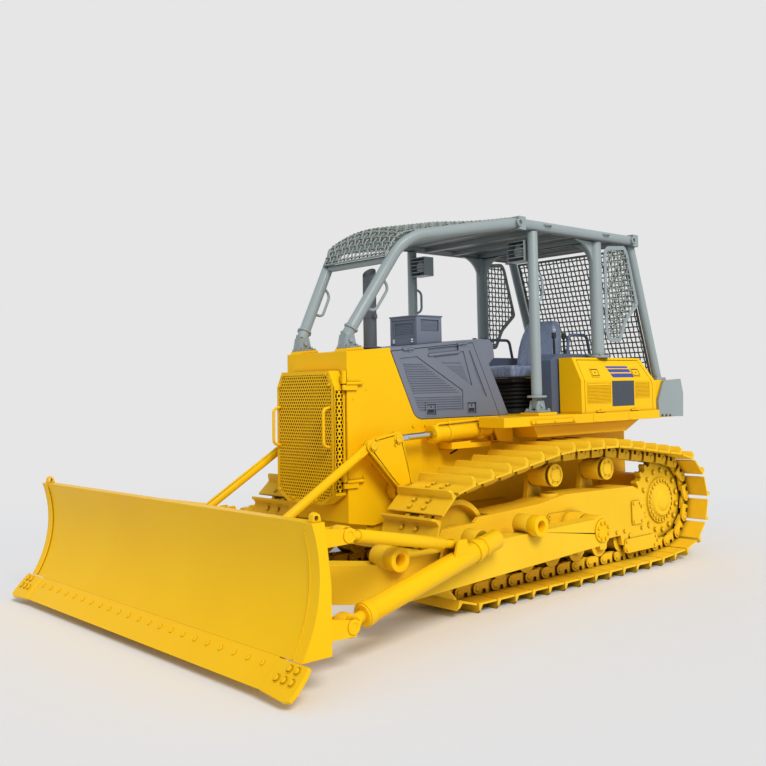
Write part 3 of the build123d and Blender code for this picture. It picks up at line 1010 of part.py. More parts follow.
# C-frame: two arms outside the tracks that close in a nose behind the blade
with BuildPart() as c_frame:
    arm = [(TRUNNION_X, TRUNNION_Z - 122), (TRUNNION_X, TRUNNION_Z + 102)]
    arm += [(ARM_BEND_X, CFRAME_TOP_Z + 20), (ARM_BEND_X, CFRAME_FOOT_Z - 10)]
    side_plate(arm, ARM_IN_Y, ARM_OUT_Y)
    disc_y(TRUNNION_X, TRUNNION_Z, ARM_IN_Y, ARM_OUT_Y, TRUNNION_R + 55)
    bow = [(ARM_BEND_X - 20, ARM_OUT_Y), (ARM_BEND_X + 40, ARM_OUT_Y), (NOSE_X - 110, 690), (NOSE_X, 200)]
    bow += [(NOSE_X, 0), (NOSE_X - 190, 0), (NOSE_X - 190, 160), (2090, 560), (ARM_BEND_X - 20, ARM_IN_Y)]
    floor_plate(bow, CFRAME_FOOT_Z, CFRAME_TOP_Z)
    disc_y(TRUNNION_X, TRUNNION_Z, 0, 2000, TRUNNION_R + PIVOT_CLEARANCE, mode=Mode.SUBTRACT)
    for socket_x, socket_z in SOCKETS + ((STRUT_REAR_X, STRUT_REAR_Z),):
        disc_y(socket_x, socket_z, ARM_IN_Y + 15, ARM_OUT_Y, SOCKET_R)
    for cheek_y in (LINK_Y - LINK_GAP_HALF - CRANK_SHEET, LINK_Y + LINK_GAP_HALF):
        lug = [(LINK_FOOT_X - 130, CFRAME_TOP_Z - 20), (LINK_FOOT_X - 55, LINK_FOOT_Z + 40)]
        lug += [(LINK_FOOT_X + 55, LINK_FOOT_Z + 40), (LINK_FOOT_X + 110, CFRAME_TOP_Z - 20)]
        side_plate(lug, cheek_y, cheek_y + CRANK_SHEET)
    disc_y(LINK_FOOT_X, LINK_FOOT_Z, LINK_Y - LINK_GAP_HALF, LINK_Y + LINK_GAP_HALF, LINK_PIN_R)
    mirror(about=Plane.XZ)
    nose_z = (CFRAME_FOOT_Z + 36, CFRAME_TOP_Z - 36)
    rod((NOSE_X + 40, 0, nose_z[0]), (NOSE_X + 40, 0, nose_z[1]), NOSE_R)

# Spare strut sockets on the arms, where the struts are pinned to angle the blade
with BuildPart() as strut_sockets:
    for socket_x, socket_z in SOCKETS:
        socket_end = ARM_OUT_Y + SOCKET_DEPTH
        disc_y(socket_x, socket_z, ARM_OUT_Y, socket_end, SOCKET_R)
        floor_y = ARM_OUT_Y + SOCKET_FLOOR
        disc_y(socket_x, socket_z, floor_y, socket_end, SOCKET_BORE_R, mode=Mode.SUBTRACT)
    mirror(about=Plane.XZ)

# Blade: rolled face, top and bottom beams, ribs, side plates and brackets
with BuildPart() as blade:
    back = BLADE_SHEET
    with BuildSketch(side_plane(BLADE_HALF)):
        with BuildLine():
            ThreePointArc(
                (BLADE_TOP_X, BLADE_TOP_Z),
                (BLADE_MID_X, BLADE_MID_Z),
                (BLADE_FOOT_X, BLADE_FOOT_Z),
            )
            Line((BLADE_FOOT_X, BLADE_FOOT_Z), (BLADE_FOOT_X - back, BLADE_FOOT_Z))
            ThreePointArc(
                (BLADE_FOOT_X - back, BLADE_FOOT_Z),
                (BLADE_MID_X - back, BLADE_MID_Z),
                (BLADE_TOP_X - back, BLADE_TOP_Z),
            )
            Line((BLADE_TOP_X - back, BLADE_TOP_Z), (BLADE_TOP_X, BLADE_TOP_Z))
        make_face()
    extrude(amount=2 * BLADE_HALF)
    top_beam = [(2590, 958), (2650, 958), (2610, 830), (2570, 850)]
    foot_beam = [(BLADE_BACK_X, 214), (2722, 214), (2640, 420), (BLADE_BACK_X, 400)]
    side_plate(top_beam, -BLADE_HALF, BLADE_HALF)
    side_plate(foot_beam, -BLADE_HALF, BLADE_HALF)
    rib = [(BLADE_BACK_X, 380), (2640, 400), (2600, 560), (2593, 700), (2615, 850), (2575, 860), (2545, 600)]
    rib_step = (2 * BLADE_HALF - LUG_SHEET) / (RIB_COUNT - 1)
    for index in range(RIB_COUNT):
        rib_y = -BLADE_HALF + index * rib_step
        side_plate(rib, rib_y, rib_y + LUG_SHEET)
    for bracket_z in (CFRAME_FOOT_Z, CFRAME_TOP_Z - 36 + SEAT_GAP):
        socket = [(BLADE_MID_X - 4, -170), (NOSE_X + 10, -90), (NOSE_X + 10, 90), (BLADE_MID_X - 4, 170)]
        floor_plate(socket, bracket_z, bracket_z + 36 - SEAT_GAP)
    for side in (-1, 1):
        for cheek in (STRUT_Y - EYE_HALF - SEAT_GAP - LUG_SHEET, STRUT_Y + EYE_HALF + SEAT_GAP):
            cheek_y = sorted((side * cheek, side * (cheek + LUG_SHEET)))
            ear = [(2600, 230), (STRUT_FRONT_X - 20, 215), (STRUT_FRONT_X - 70, 300), (2600, 390)]
            side_plate(ear, *cheek_y)
            ear = [(2610, 760), (BRACE_FRONT_X - 30, 770), (BRACE_FRONT_X - 50, 850), (2610, 900)]
            side_plate(ear, *cheek_y)
        inner, outer = sorted((side * (BLADE_HALF - 60), side * (BLADE_HALF - 20)))
        side_plate([(2590, 940), (2660, 940), (2652, 1000), (2630, 1014), (2606, 1000)], inner, outer)
        disc_y(2630, 982, inner, outer, LIFT_EYE_R, mode=Mode.SUBTRACT)
        with BuildSketch(side_plane(max(side * BLADE_HALF, side * (BLADE_HALF - WEAR_STRIP)))):
            with BuildLine():
                ThreePointArc(
                    (BLADE_TOP_X, BLADE_TOP_Z),
                    (BLADE_MID_X, BLADE_MID_Z),
                    (BLADE_FOOT_X, BLADE_FOOT_Z),
                )
                Line((BLADE_FOOT_X, BLADE_FOOT_Z), (BLADE_FOOT_X + WEAR_SHEET, BLADE_FOOT_Z))
                ThreePointArc(
                    (BLADE_FOOT_X + WEAR_SHEET, BLADE_FOOT_Z),
                    (BLADE_MID_X + WEAR_SHEET, BLADE_MID_Z),
                    (BLADE_TOP_X + WEAR_SHEET, BLADE_TOP_Z),
                )
                Line((BLADE_TOP_X + WEAR_SHEET, BLADE_TOP_Z), (BLADE_TOP_X, BLADE_TOP_Z))
            make_face()
        extrude(amount=WEAR_STRIP)

with BuildPart() as cutting_edge:
    edge_run = hypot(EDGE_TIP_X - BLADE_FOOT_X, EDGE_TIP_Z - BLADE_FOOT_Z)
    edge_way = ((EDGE_TIP_X - BLADE_FOOT_X) / edge_run, (EDGE_TIP_Z - BLADE_FOOT_Z) / edge_run)
    lip_x, lip_z = EDGE_TIP_X - edge_way[0] * END_BIT_DROP, EDGE_TIP_Z - edge_way[1] * END_BIT_DROP
    edge = [(BLADE_FOOT_X, BLADE_FOOT_Z), (lip_x, lip_z), (lip_x - EDGE_LIP, lip_z)]
    edge += [(BLADE_FOOT_X - EDGE_HEAD, BLADE_FOOT_Z)]
    bit_in, bit_head, bit_foot = EDGE_HALF - END_BIT, -WEAR_SHEET, WEAR_SHEET - edge_run
    side_plate(edge, -bit_in, bit_in)
    edge_out = (-edge_way[1], 0, edge_way[0])
    edge_plane = Plane(origin=(BLADE_FOOT_X, 0, BLADE_FOOT_Z), x_dir=(0, 1, 0), z_dir=edge_out)
    corner = END_BIT_CORNER
    bit = [(bit_in, bit_head), (EDGE_HALF - corner / 5, bit_head), (EDGE_HALF, bit_head - corner)]
    bit += [(EDGE_HALF, bit_foot + corner), (EDGE_HALF - corner / 4, bit_foot + corner / 4)]
    bit += [(EDGE_HALF - corner, bit_foot), (bit_in, END_BIT_DROP - edge_run)]
    for side in (-1, 1):
        with BuildSketch(edge_plane.offset(-END_BIT_BACK)):
            with BuildLine():
                Polyline(*[(side * across, down) for across, down in bit], close=True)
            make_face()
        extrude(amount=END_BIT_BACK + WEAR_SHEET)

# Struts: a push strut and a brace on each side, re-pinned by hand to angle the blade
strut_front = Vector(STRUT_FRONT_X, STRUT_Y, STRUT_FRONT_Z)
strut_rear = Vector(STRUT_REAR_X, STRUT_REAR_Y, STRUT_REAR_Z)
strut_way = (strut_rear - strut_front).normalized()
brace_front = Vector(BRACE_FRONT_X, STRUT_Y, BRACE_FRONT_Z)
brace_rear = Vector(BRACE_REAR_X, BRACE_REAR_Y, BRACE_REAR_Z)
brace_way = (brace_rear - brace_front).normalized()
with BuildPart() as push_struts:
    disc_y(STRUT_FRONT_X, STRUT_FRONT_Z, STRUT_Y - EYE_HALF, STRUT_Y + EYE_HALF, STRUT_R)
    rod(strut_front, strut_front + strut_way * (STRUT_NECK + 10), STRUT_NECK_R)
    rod(strut_front + strut_way * STRUT_NECK, strut_rear + strut_way * STRUT_R, STRUT_R)
    disc_y(STRUT_REAR_X, STRUT_REAR_Z, ARM_OUT_Y + SEAT_GAP, STRUT_REAR_Y, STRUT_NECK_R + 10)
    saddle_z = STRUT_FRONT_Z + (STRUT_REAR_Z - STRUT_FRONT_Z) * 0.74
    for cheek_y in (BRACE_REAR_Y - EYE_HALF - SEAT_GAP - LUG_SHEET, BRACE_REAR_Y + EYE_HALF + SEAT_GAP):
        saddle = [(BRACE_REAR_X - 90, saddle_z), (BRACE_REAR_X - 40, BRACE_REAR_Z + 40)]
        saddle += [(BRACE_REAR_X + 40, BRACE_REAR_Z + 40), (BRACE_REAR_X + 90, saddle_z)]
        side_plate(saddle, cheek_y, cheek_y + LUG_SHEET)
    mirror(about=Plane.XZ)

with BuildPart() as tilt_braces:
    disc_y(BRACE_FRONT_X, BRACE_FRONT_Z, STRUT_Y - EYE_HALF, STRUT_Y + EYE_HALF, BRACE_R + 14)
    disc_y(BRACE_REAR_X, BRACE_REAR_Z, BRACE_REAR_Y - EYE_HALF, BRACE_REAR_Y + EYE_HALF, BRACE_R - 5)
    rod(brace_front, brace_rear, BRACE_R - 13)
    rod(brace_front + brace_way * STRUT_NECK, brace_rear - brace_way * STRUT_NECK, BRACE_R)
    mirror(about=Plane.XZ)

# Lift linkage: bell cranks, links to the C-frame and hydraulic cylinders
with BuildPart() as crank_left:
    for cheek_y in (LINK_Y - LINK_GAP_HALF - CRANK_SHEET, LINK_Y + LINK_GAP_HALF):
        with BuildSketch(side_plane(cheek_y + CRANK_SHEET)):
            with BuildLine():
                corners = [(CRANK_X, CRANK_Z), (LINK_TOP_X, LINK_TOP_Z), (ROD_EYE_X, ROD_EYE_Z)]
                Polyline(*corners, close=True)
            make_face()
            offset(amount=CRANK_RIM, kind=Kind.ARC, mode=Mode.REPLACE)
        extrude(amount=CRANK_SHEET)
    disc_y(CRANK_X, CRANK_Z, LINK_Y - LINK_GAP_HALF, LINK_Y + LINK_GAP_HALF, CRANK_SHAFT_R + 25)
    boss_y = (LINK_Y + LINK_GAP_HALF + CRANK_SHEET, LINK_Y + LINK_GAP_HALF + CRANK_SHEET + 10)
    for boss_x, boss_z in ((LINK_TOP_X, LINK_TOP_Z), (ROD_EYE_X, ROD_EYE_Z)):
        disc_y(boss_x, boss_z, *boss_y, CRANK_RIM - 12)
    disc_y(CRANK_X, CRANK_Z, 0, 1000, CRANK_SHAFT_R + PIVOT_CLEARANCE, mode=Mode.SUBTRACT)

with BuildPart() as crank_right:
    mirror(crank_left.part, about=Plane.XZ)

LINK_EYE_HALF = LINK_GAP_HALF - 0.5
with BuildPart() as link_left:
    rod((LINK_TOP_X, LINK_Y, LINK_TOP_Z), (LINK_FOOT_X, LINK_Y, LINK_FOOT_Z), LINK_R)
    eye_y = (LINK_Y - LINK_EYE_HALF, LINK_Y + LINK_EYE_HALF)
    for end_y in ((0, eye_y[0]), (eye_y[1], 1000)):
        disc_y(LINK_TOP_X, LINK_TOP_Z, *end_y, CRANK_RIM + 75, mode=Mode.SUBTRACT)
        disc_y(LINK_FOOT_X, LINK_FOOT_Z, *end_y, 150, mode=Mode.SUBTRACT)
    disc_y(LINK_TOP_X, LINK_TOP_Z, *eye_y, LINK_EYE_R - 8)
    disc_y(LINK_FOOT_X, LINK_FOOT_Z, *eye_y, LINK_EYE_R)
    disc_y(LINK_FOOT_X, LINK_FOOT_Z, 0, 1000, LINK_PIN_R + PIVOT_CLEARANCE, mode=Mode.SUBTRACT)

with BuildPart() as link_right:
    mirror(link_left.part, about=Plane.XZ)

ram_run = hypot(ROD_EYE_X - BARREL_EYE_X, ROD_EYE_Z - BARREL_EYE_Z)
ram_way = ((ROD_EYE_X - BARREL_EYE_X) / ram_run, (ROD_EYE_Z - BARREL_EYE_Z) / ram_run)


def on_ram(distance):
    """Point on the cylinder's axis, measured from the barrel's eye."""
    return (BARREL_EYE_X + distance * ram_way[0], LINK_Y, BARREL_EYE_Z + distance * ram_way[1])


with BuildPart() as barrel_left:
    rod(on_ram(BARREL_START), on_ram(BARREL_END), BARREL_R)
    rod(on_ram(BARREL_END - 60), on_ram(BARREL_END), BARREL_R + 8)
    rod(on_ram(0), on_ram(BARREL_START + 5), LINK_EYE_HALF)
    disc_y(BARREL_EYE_X, BARREL_EYE_Z, *eye_y, BARREL_EYE_R)
    disc_y(BARREL_EYE_X, BARREL_EYE_Z, 0, 1000, BARREL_PIN_R + PIVOT_CLEARANCE, mode=Mode.SUBTRACT)
    bore_r = ROD_R + ROD_BORE_CLEARANCE
    rod(on_ram(BARREL_START + 35), on_ram(BARREL_END + 10), bore_r, mode=Mode.SUBTRACT)

with BuildPart() as barrel_right:
    mirror(barrel_left.part, about=Plane.XZ)

with BuildPart() as rod_left:
    rod(on_ram(ROD_START), on_ram(ram_run), ROD_R)
    for end_y in ((0, eye_y[0]), (eye_y[1], 1000)):
        disc_y(ROD_EYE_X, ROD_EYE_Z, *end_y, CRANK_RIM + 75, mode=Mode.SUBTRACT)
    disc_y(ROD_EYE_X, ROD_EYE_Z, *eye_y, ROD_EYE_R)

with BuildPart() as rod_right:
    mirror(rod_left.part, about=Plane.XZ)

pieces = {
    "track_left": track_left,
    "track_right": track_right,
    "sprockets": sprockets,
    "idlers": idlers,
    "rollers": rollers,
    "track_frames": track_frames,
    "main_frame": main_frame,
    "engine_block": engine_block,
    "drawbar": drawbar,
    "radiator_guard": radiator_guard,
    "radiator_core": radiator_core,
    "hood_top": hood_top,
    "exhaust_stack": exhaust_stack,
    "intake_box": intake_box,
    "lower_panels": lower_panels,
    "engine_door_left": engine_door_left,
    "engine_door_right": engine_door_right,
    "radiator_grille": radiator_grille,
    "deck": deck,
    "dash_console": dash_console,
    "fender_boxes": fender_boxes,
    "fender_door_left": fender_door_left,
    "fender_door_right": fender_door_right,
    "fuel_tank": fuel_tank,
    "rear_plates": rear_plates,
    "seat_base": seat_base,
    "seat_cushion": seat_cushion,
    "seat_back": seat_back,
    "consoles": consoles,
    "levers": levers,
    "canopy_posts": canopy_posts,
    "canopy_roof": canopy_roof,
    "front_sweeps": front_sweeps,
    "front_mesh": front_mesh,
    "rear_sweeps": rear_sweeps,
    "rear_mesh": rear_mesh,
    "quarter_guards": quarter_guards,
    "work_lamps": work_lamps,
    "c_frame": c_frame,
    "strut_sockets": strut_sockets,
    "blade": blade,
    "cutting_edge": cutting_edge,
    "push_struts": push_struts,
    "tilt_braces": tilt_braces,
    "crank_left": crank_left,
    "crank_right": crank_right,
    "link_left": link_left,
    "link_right": link_right,
    "barrel_left": barrel_left,
    "barrel_right": barrel_right,
    "rod_left": rod_left,
    "rod_right": rod_right,
}
for label, piece in pieces.items():
    piece.part.label = label
    export_step(piece.part, f"parts/{label}.step")
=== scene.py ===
# %% [markdown]
# # Dressing a track-laying dozer
# The packed model gives every plate, pin and wheel its place and size. This lesson adds what a plain solid
# lacks: paint, castings, real track links, perforated sheet, woven wire, a stuffed seat, bolts and louvres.
# Everything is written in millimetres, as on a workshop drawing, and turned into metres in one place.

import json
from math import acos, atan2, cos, hypot, pi, radians, sin, sqrt, tan

import bmesh
import bpy
from mathutils import Matrix, Vector


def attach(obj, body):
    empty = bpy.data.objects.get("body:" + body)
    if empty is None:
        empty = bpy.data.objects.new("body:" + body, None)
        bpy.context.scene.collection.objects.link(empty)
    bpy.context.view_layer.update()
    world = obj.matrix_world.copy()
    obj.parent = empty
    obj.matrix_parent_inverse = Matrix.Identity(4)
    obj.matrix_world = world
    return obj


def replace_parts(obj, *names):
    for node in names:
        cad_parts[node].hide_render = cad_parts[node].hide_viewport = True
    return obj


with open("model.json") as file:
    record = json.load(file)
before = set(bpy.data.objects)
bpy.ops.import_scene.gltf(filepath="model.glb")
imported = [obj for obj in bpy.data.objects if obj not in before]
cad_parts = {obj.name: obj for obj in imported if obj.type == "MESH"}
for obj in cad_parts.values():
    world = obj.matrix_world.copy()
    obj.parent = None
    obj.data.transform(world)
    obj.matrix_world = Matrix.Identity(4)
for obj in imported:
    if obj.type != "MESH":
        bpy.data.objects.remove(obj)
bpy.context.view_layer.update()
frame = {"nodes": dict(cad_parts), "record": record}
nodes = frame["nodes"]
MM = 0.001

# %% [markdown]
# ## Finishes
# A finish is a shader graph. Each one here starts from the real material: how it was made decides its gloss
# and its relief. One function turns a colour that is written as sRGB hex into the linear numbers that light
# needs, and one small function adds a node with its settings and links.


# %% Colour and node helpers
def linear(code):
    """sRGB hex to a linear RGBA colour."""
    shares = [int(code[start:start + 2], 16) / 255 for start in (1, 3, 5)]
    light = [share / 12.92 if share <= 0.04045 else ((share + 0.055) / 1.055) ** 2.4 for share in shares]
    return light + [1.0]


def add(tree, kind, inputs=None, **settings):
    """One node: settings are its own values, inputs are numbers, colours or sockets to link from."""
    made = tree.nodes.new(kind)
    for name, value in settings.items():
        setattr(made, name, value)
    for name, value in (inputs or {}).items():
        if isinstance(value, bpy.types.NodeSocket):
            tree.links.new(value, made.inputs[name])
        else:
            made.inputs[name].default_value = value
    return made


def finish(name, **constants):
    """A new material with its shader, its shader tree and object coordinates in metres."""
    material = bpy.data.materials.new(name)
    material.use_nodes = True
    tree = material.node_tree
    shader = tree.nodes["Principled BSDF"]
    for socket, value in constants.items():
        shader.inputs[socket.replace("_", " ")].default_value = value
    where = add(tree, "ShaderNodeTexCoord").outputs["Object"]
    return material, tree, shader, where


def per_metre(size_mm):
    """Texture scale at which one grain of a noise is about this many millimetres wide."""
    return 1 / (size_mm * MM)


print("middle grey as light:", round(linear("#808080")[0], 3))

# %% [markdown]
# Sprayed enamel on steel is a smooth, glossy coat. Three things keep it from looking like plastic: the
# colour drifts a little over a large panel, the gloss drifts with it, and the spray leaves a faint orange
# peel. Cast and forged pieces under the same paint keep the grain of the mould, so they get a stronger,
# wider relief.

# %% Painted finishes
DRIFT_MM, GLOSS_MM, PEEL_STRENGTH = 700, 90, 0.35
# A Mix node's colour sockets share their names with its number sockets, so they are told apart by place.
MIX_A, MIX_B, MIX_RESULT = 6, 7, 2


def painted(name, shade, deep, rough, peel_mm, relief_mm, coat, sheen=0.3, painted_corner_shade=None, reach_mm=45):
    """Enamel: two close shades that drift, painted shade in the corners, and a peel for the relief."""
    material, tree, shader, where = finish(name, Specular_IOR_Level=sheen, Coat_Weight=coat,
                                           Coat_Roughness=0.12)
    drift = add(tree, "ShaderNodeTexNoise", {"Vector": where, "Scale": per_metre(DRIFT_MM), "Detail": 4.0})
    shades = {"Factor": drift.outputs["Fac"], MIX_A: linear(deep), MIX_B: linear(shade)}
    colour = add(tree, "ShaderNodeMix", shades, data_type="RGBA").outputs[MIX_RESULT]
    if painted_corner_shade:
        # Ambient occlusion darkens the colour near corners and in hollows: painted shade.
        hollow = add(tree, "ShaderNodeAmbientOcclusion", {"Distance": reach_mm * MM}, samples=6)
        open_air = add(tree, "ShaderNodeMapRange",
                       {"Value": hollow.outputs["AO"], "From Min": 0.25, "From Max": 0.8})
        shades = {"Factor": open_air.outputs["Result"], MIX_A: linear(painted_corner_shade), MIX_B: colour}
        colour = add(tree, "ShaderNodeMix", shades, data_type="RGBA").outputs[MIX_RESULT]
    tree.links.new(colour, shader.inputs["Base Color"])
    gloss = add(tree, "ShaderNodeTexNoise", {"Vector": where, "Scale": per_metre(GLOSS_MM), "Detail": 6.0})
    dull = add(tree, "ShaderNodeMapRange", {"Value": gloss.outputs["Fac"], "From Min": 0.3, "From Max": 0.7,
                                            "To Min": rough - 0.05, "To Max": rough + 0.07})
    tree.links.new(dull.outputs["Result"], shader.inputs["Roughness"])
    peel = add(tree, "ShaderNodeTexNoise", {"Vector": where, "Scale": per_metre(peel_mm), "Detail": 2.0})
    bump = add(tree, "ShaderNodeBump", {"Height": peel.outputs["Fac"], "Strength": PEEL_STRENGTH,
                                        "Distance": relief_mm * MM})
    tree.links.new(bump.outputs["Normal"], shader.inputs["Normal"])
    return material


# Orange peel is about 3 mm wide; it is drawn at 9 mm so that it shows at this distance. The grain of a sand
# mould, about 3 mm, is drawn at 12 to 14 mm, and that of moulded plastic, about 1 mm, at 5 mm.
# After its two shades, each finish lists roughness, width and depth of its relief in mm, clear coat, sheen,
# the colour of the painted shade in its corners and how far that reaches out of a corner.
# Sprayed sheet steel: an even yellow with a soft shine, and ochre painted shade in its corners.
yellow_enamel = painted("sprayed_yellow_enamel", "#FCCB10", "#F2BE0C", 0.38, 9, 0.25, 0.03, 0.09, "#9A6408")
# The same paint over castings: duller and uneven, with brown painted shade in its hollows.
cast_enamel = painted("enamel_on_castings", "#FAD02E", "#E8BA1E", 0.5, 14, 1.6, 0.0, 0.13, "#5E3A06", 90)
# Grey-green enamel on bent tubes: a narrow highlight runs along each tube, and grey painted shade lies in its
# corners.
canopy_enamel = painted("grey_green_enamel", "#98A6AB", "#8C9A9F", 0.4, 9, 0.25, 0.08, 0.3, "#565D5C")
# Plastic doors from a grained mould: a broad, weak shine, with painted shade in the corners.
slate_moulding = painted("moulded_slate_plastic", "#7A8396", "#6D7688", 0.44, 5, 0.5, 0.0, 0.3, "#4A5160")
# The consoles' plastic is bluer and a little duller.
console_moulding = painted("moulded_blue_grey_plastic", "#5C6B8A", "#505E7A", 0.48, 5, 0.5, 0.0)
# The canopy's enamel on the roof sheet, with painted shade that is deeper and reaches further where the ribs
# meet it.
roof_enamel = painted("grey_green_enamel_on_the_roof", "#98A6AB", "#8C9A9F", 0.4, 9, 0.25, 0.08, 0.3,
                      "#4A5150", 120)
# Black ABS of latches and knobs, almost without shine; the same dark finish paints the shade in gaps and
# slots.
abs_and_gap_shade = painted("moulded_black_abs_and_gap_shade", "#2B3036", "#23272C", 0.5, 5, 0.5, 0.0)
print("painted finishes:", len(bpy.data.materials))

# %% [markdown]
# The roof sheet's underside is darkened by painted shade. It could be a second material on the lower faces,
# but the sheet's own direction says it as well: the colour turns to the painted shade where the surface faces
# the ground.

# %% Painted shade below the roof
FULL_SHADE_AT, NO_SHADE_AT = -0.95, -0.5
tree = roof_enamel.node_tree
shader = tree.nodes["Principled BSDF"]
normal = add(tree, "ShaderNodeNewGeometry").outputs["Normal"]
facing_way = add(tree, "ShaderNodeSeparateXYZ", {"Vector": normal})
below = add(tree, "ShaderNodeMapRange",
            {"Value": facing_way.outputs["Z"], "From Min": FULL_SHADE_AT, "From Max": NO_SHADE_AT})
enamel = shader.inputs["Base Color"].links[0].from_socket
# Faces that look down are painted a darker grey: painted shade under the roof.
shades = {"Factor": below.outputs["Result"], MIX_A: linear("#5B6365"), MIX_B: enamel}
painted_underside_shade = add(tree, "ShaderNodeMix", shades, data_type="RGBA")
tree.links.new(painted_underside_shade.outputs[MIX_RESULT], shader.inputs["Base Color"])
print("primer below", roof_enamel.name)

# %% [markdown]
# Bare and coated metals. Hard chrome on a cylinder rod is a mirror whose gloss changes a little where the
# polishing wheel passed; one roughness all over would be simpler, but looks like glass. The exhaust has a
# matte heat coating, and the engine's iron is sand cast, so both are made as paints with a trace of metal.

# %% Metal finishes
# Hard chrome: sharp reflections, slightly hazed in patches about 25 mm wide.
chrome, tree, shader, where = finish("hard_chrome_rod", Metallic=1.0, Roughness=0.12,
                                     Base_Color=linear("#C9CCD0"))
wheel_marks = add(tree, "ShaderNodeTexNoise", {"Vector": where, "Scale": per_metre(25), "Detail": 8.0})
polish = add(tree, "ShaderNodeMapRange",
             {"Value": wheel_marks.outputs["Fac"], "To Min": 0.06, "To Max": 0.22})
tree.links.new(polish.outputs["Result"], shader.inputs["Roughness"])

# Cast iron and sooty heat coating: dark and dull, with a weak metal shine.
COATED_METALLIC = 0.35
cast_iron = painted("sand_cast_iron", "#4A4B4D", "#3A3B3D", 0.6, 12, 1.4, 0.0)
heat_coat = painted("matte_heat_coating", "#6E757F", "#5E656E", 0.6, 7, 0.4, 0.0)
for dark_metal in (cast_iron, heat_coat):
    dark_metal.node_tree.nodes["Principled BSDF"].inputs["Metallic"].default_value = COATED_METALLIC
print("metal finishes: hard_chrome_rod, sand_cast_iron, matte_heat_coating")

# %% [markdown]
# ## The plain solids
# Most nodes keep their shape from the source. Real plates have softened edges that catch the light, so each
# node but the blade gets a Weld and a Bevel modifier: the mesh itself isn't touched. The record names a slot
# for every node, and a node takes its finish from that, apart from a few whose surface was made in another
# way.

# %% Finishes and soft edges for the nodes
slot_finish = {
    "yellow_paint": yellow_enamel,
    "canopy_paint": canopy_enamel,
    "slate_paint": slate_moulding,
    "dark_trim": abs_and_gap_shade,
    "seat_vinyl": console_moulding,
    "chrome": chrome,
    "dark_iron": cast_iron,
}
own_finish = {
    "exhaust_stack": heat_coat,
    "consoles": console_moulding,
    "dash_console": slate_moulding,
    "canopy_roof": roof_enamel,
}
own_finish.update(dict.fromkeys(("track_frames", "sprockets", "idlers", "rollers", "c_frame"), cast_enamel))

EDGE_MM, SMALL_EDGE_MM, KNUCKLE_EDGE_MM, WELD_MM = 4, 2, 1.5, 0.02
SHARP = radians(35)
# Hinge knuckles and eyes have faces narrower than a wide bevel, so these nodes get a narrow one.
small_parts = ("front_sweeps", "radiator_guard")
knuckled = ("engine_door_left", "engine_door_right", "fender_door_left", "fender_door_right", "fender_boxes",
            "hood_top", "levers", "barrel_left", "barrel_right", "rod_left", "rod_right")


def soften(piece, width_mm):
    """Rounds the sharp edges of a piece with modifiers."""
    weld = piece.modifiers.new("weld", "WELD")
    weld.merge_threshold = WELD_MM * MM
    bevel = piece.modifiers.new("edges", "BEVEL")
    bevel.width = width_mm * MM
    bevel.segments = 2
    bevel.limit_method = "ANGLE"
    bevel.angle_limit = SHARP
    bevel.use_clamp_overlap = piece.name in knuckled
    bevel.harden_normals = True


def edge_width(name):
    """How far the edges of a node are rounded, in millimetres."""
    if name in knuckled:
        return KNUCKLE_EDGE_MM
    return SMALL_EDGE_MM if name in small_parts else EDGE_MM


for subpart in frame["record"]["subparts"]:
    name = subpart["node"]
    piece = nodes[name]
    piece.data.materials.clear()
    piece.data.materials.append(own_finish.get(name, slot_finish[subpart["material_slot"]]))
    if name != "blade":  # its long curved strips shade best with the source's own normals
        soften(piece, edge_width(name))

# %% [markdown]
# ## Building new pieces
# A new piece is collected as corners and faces in millimetres and becomes one object at the end. A handful
# of forms is enough for the whole machine: a plate cut from an outline, a turned body, a tube along a path,
# and a bolt. `place` functions say how an outline's own two directions and its thickness lie in the
# machine.


# %% The collector
class Shape:
    """Corners and faces in millimetres that become one mesh object."""

    def __init__(self):
        self.corners = []
        self.faces = []

    def add(self, corners, faces):
        first = len(self.corners)
        self.corners += [tuple(corner) for corner in corners]
        self.faces += [tuple(first + index for index in face) for face in faces]

    def become(self, name, material, body, edge_mm=0):
        """One object with one finish, riding on a body."""
        mesh = bpy.data.meshes.new(name)
        mesh.from_pydata([[value * MM for value in corner] for corner in self.corners], [], self.faces)
        work = bmesh.new()
        work.from_mesh(mesh)
        bmesh.ops.recalc_face_normals(work, faces=work.faces)
        work.to_mesh(mesh)
        work.free()
        mesh.shade_smooth()
        mesh.set_sharp_from_angle(angle=SHARP)
        piece = bpy.data.objects.new(name, mesh)
        bpy.context.collection.objects.link(piece)
        mesh.materials.append(material)
        if edge_mm:
            soften(piece, edge_mm)
        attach(piece, body)
        print(f"{name}: {len(mesh.polygons)} faces on {body}")
        return piece

    def mirrored(self):
        """The corners moved to the other side of the machine's middle."""
        return [(x, -y, z) for x, y, z in self.corners]

    def both_sides(self):
        """Adds the mirror image to what was made on the left."""
        self.add(self.mirrored(), list(self.faces))

    def become_pair(self, name, material, body, edge_mm=0):
        """One object on the left body, and its mirror image on the right one."""
        for side_name in ("left", "right"):
            self.become(f"{name}_{side_name}", material, f"{body}_{side_name}", edge_mm)
            self.corners = self.mirrored()


def sections(shape, loops, closed_ends=True):
    """Skins a row of loops with equal corner counts."""
    count = len(loops[0])
    faces = []
    for ring in range(len(loops) - 1):
        for index in range(count):
            after = (index + 1) % count
            low, high = ring * count, (ring + 1) * count
            faces.append((low + index, low + after, high + after, high + index))
    if closed_ends:
        last = (len(loops) - 1) * count
        faces += [tuple(range(count)), tuple(last + index for index in reversed(range(count)))]
    shape.add([corner for loop in loops for corner in loop], faces)


def plate(shape, outline, low, high, place):
    """A flat outline (u, v) given a thickness from low to high along w."""
    sections(shape, [[place(u, v, w) for u, v in outline] for w in (low, high)])


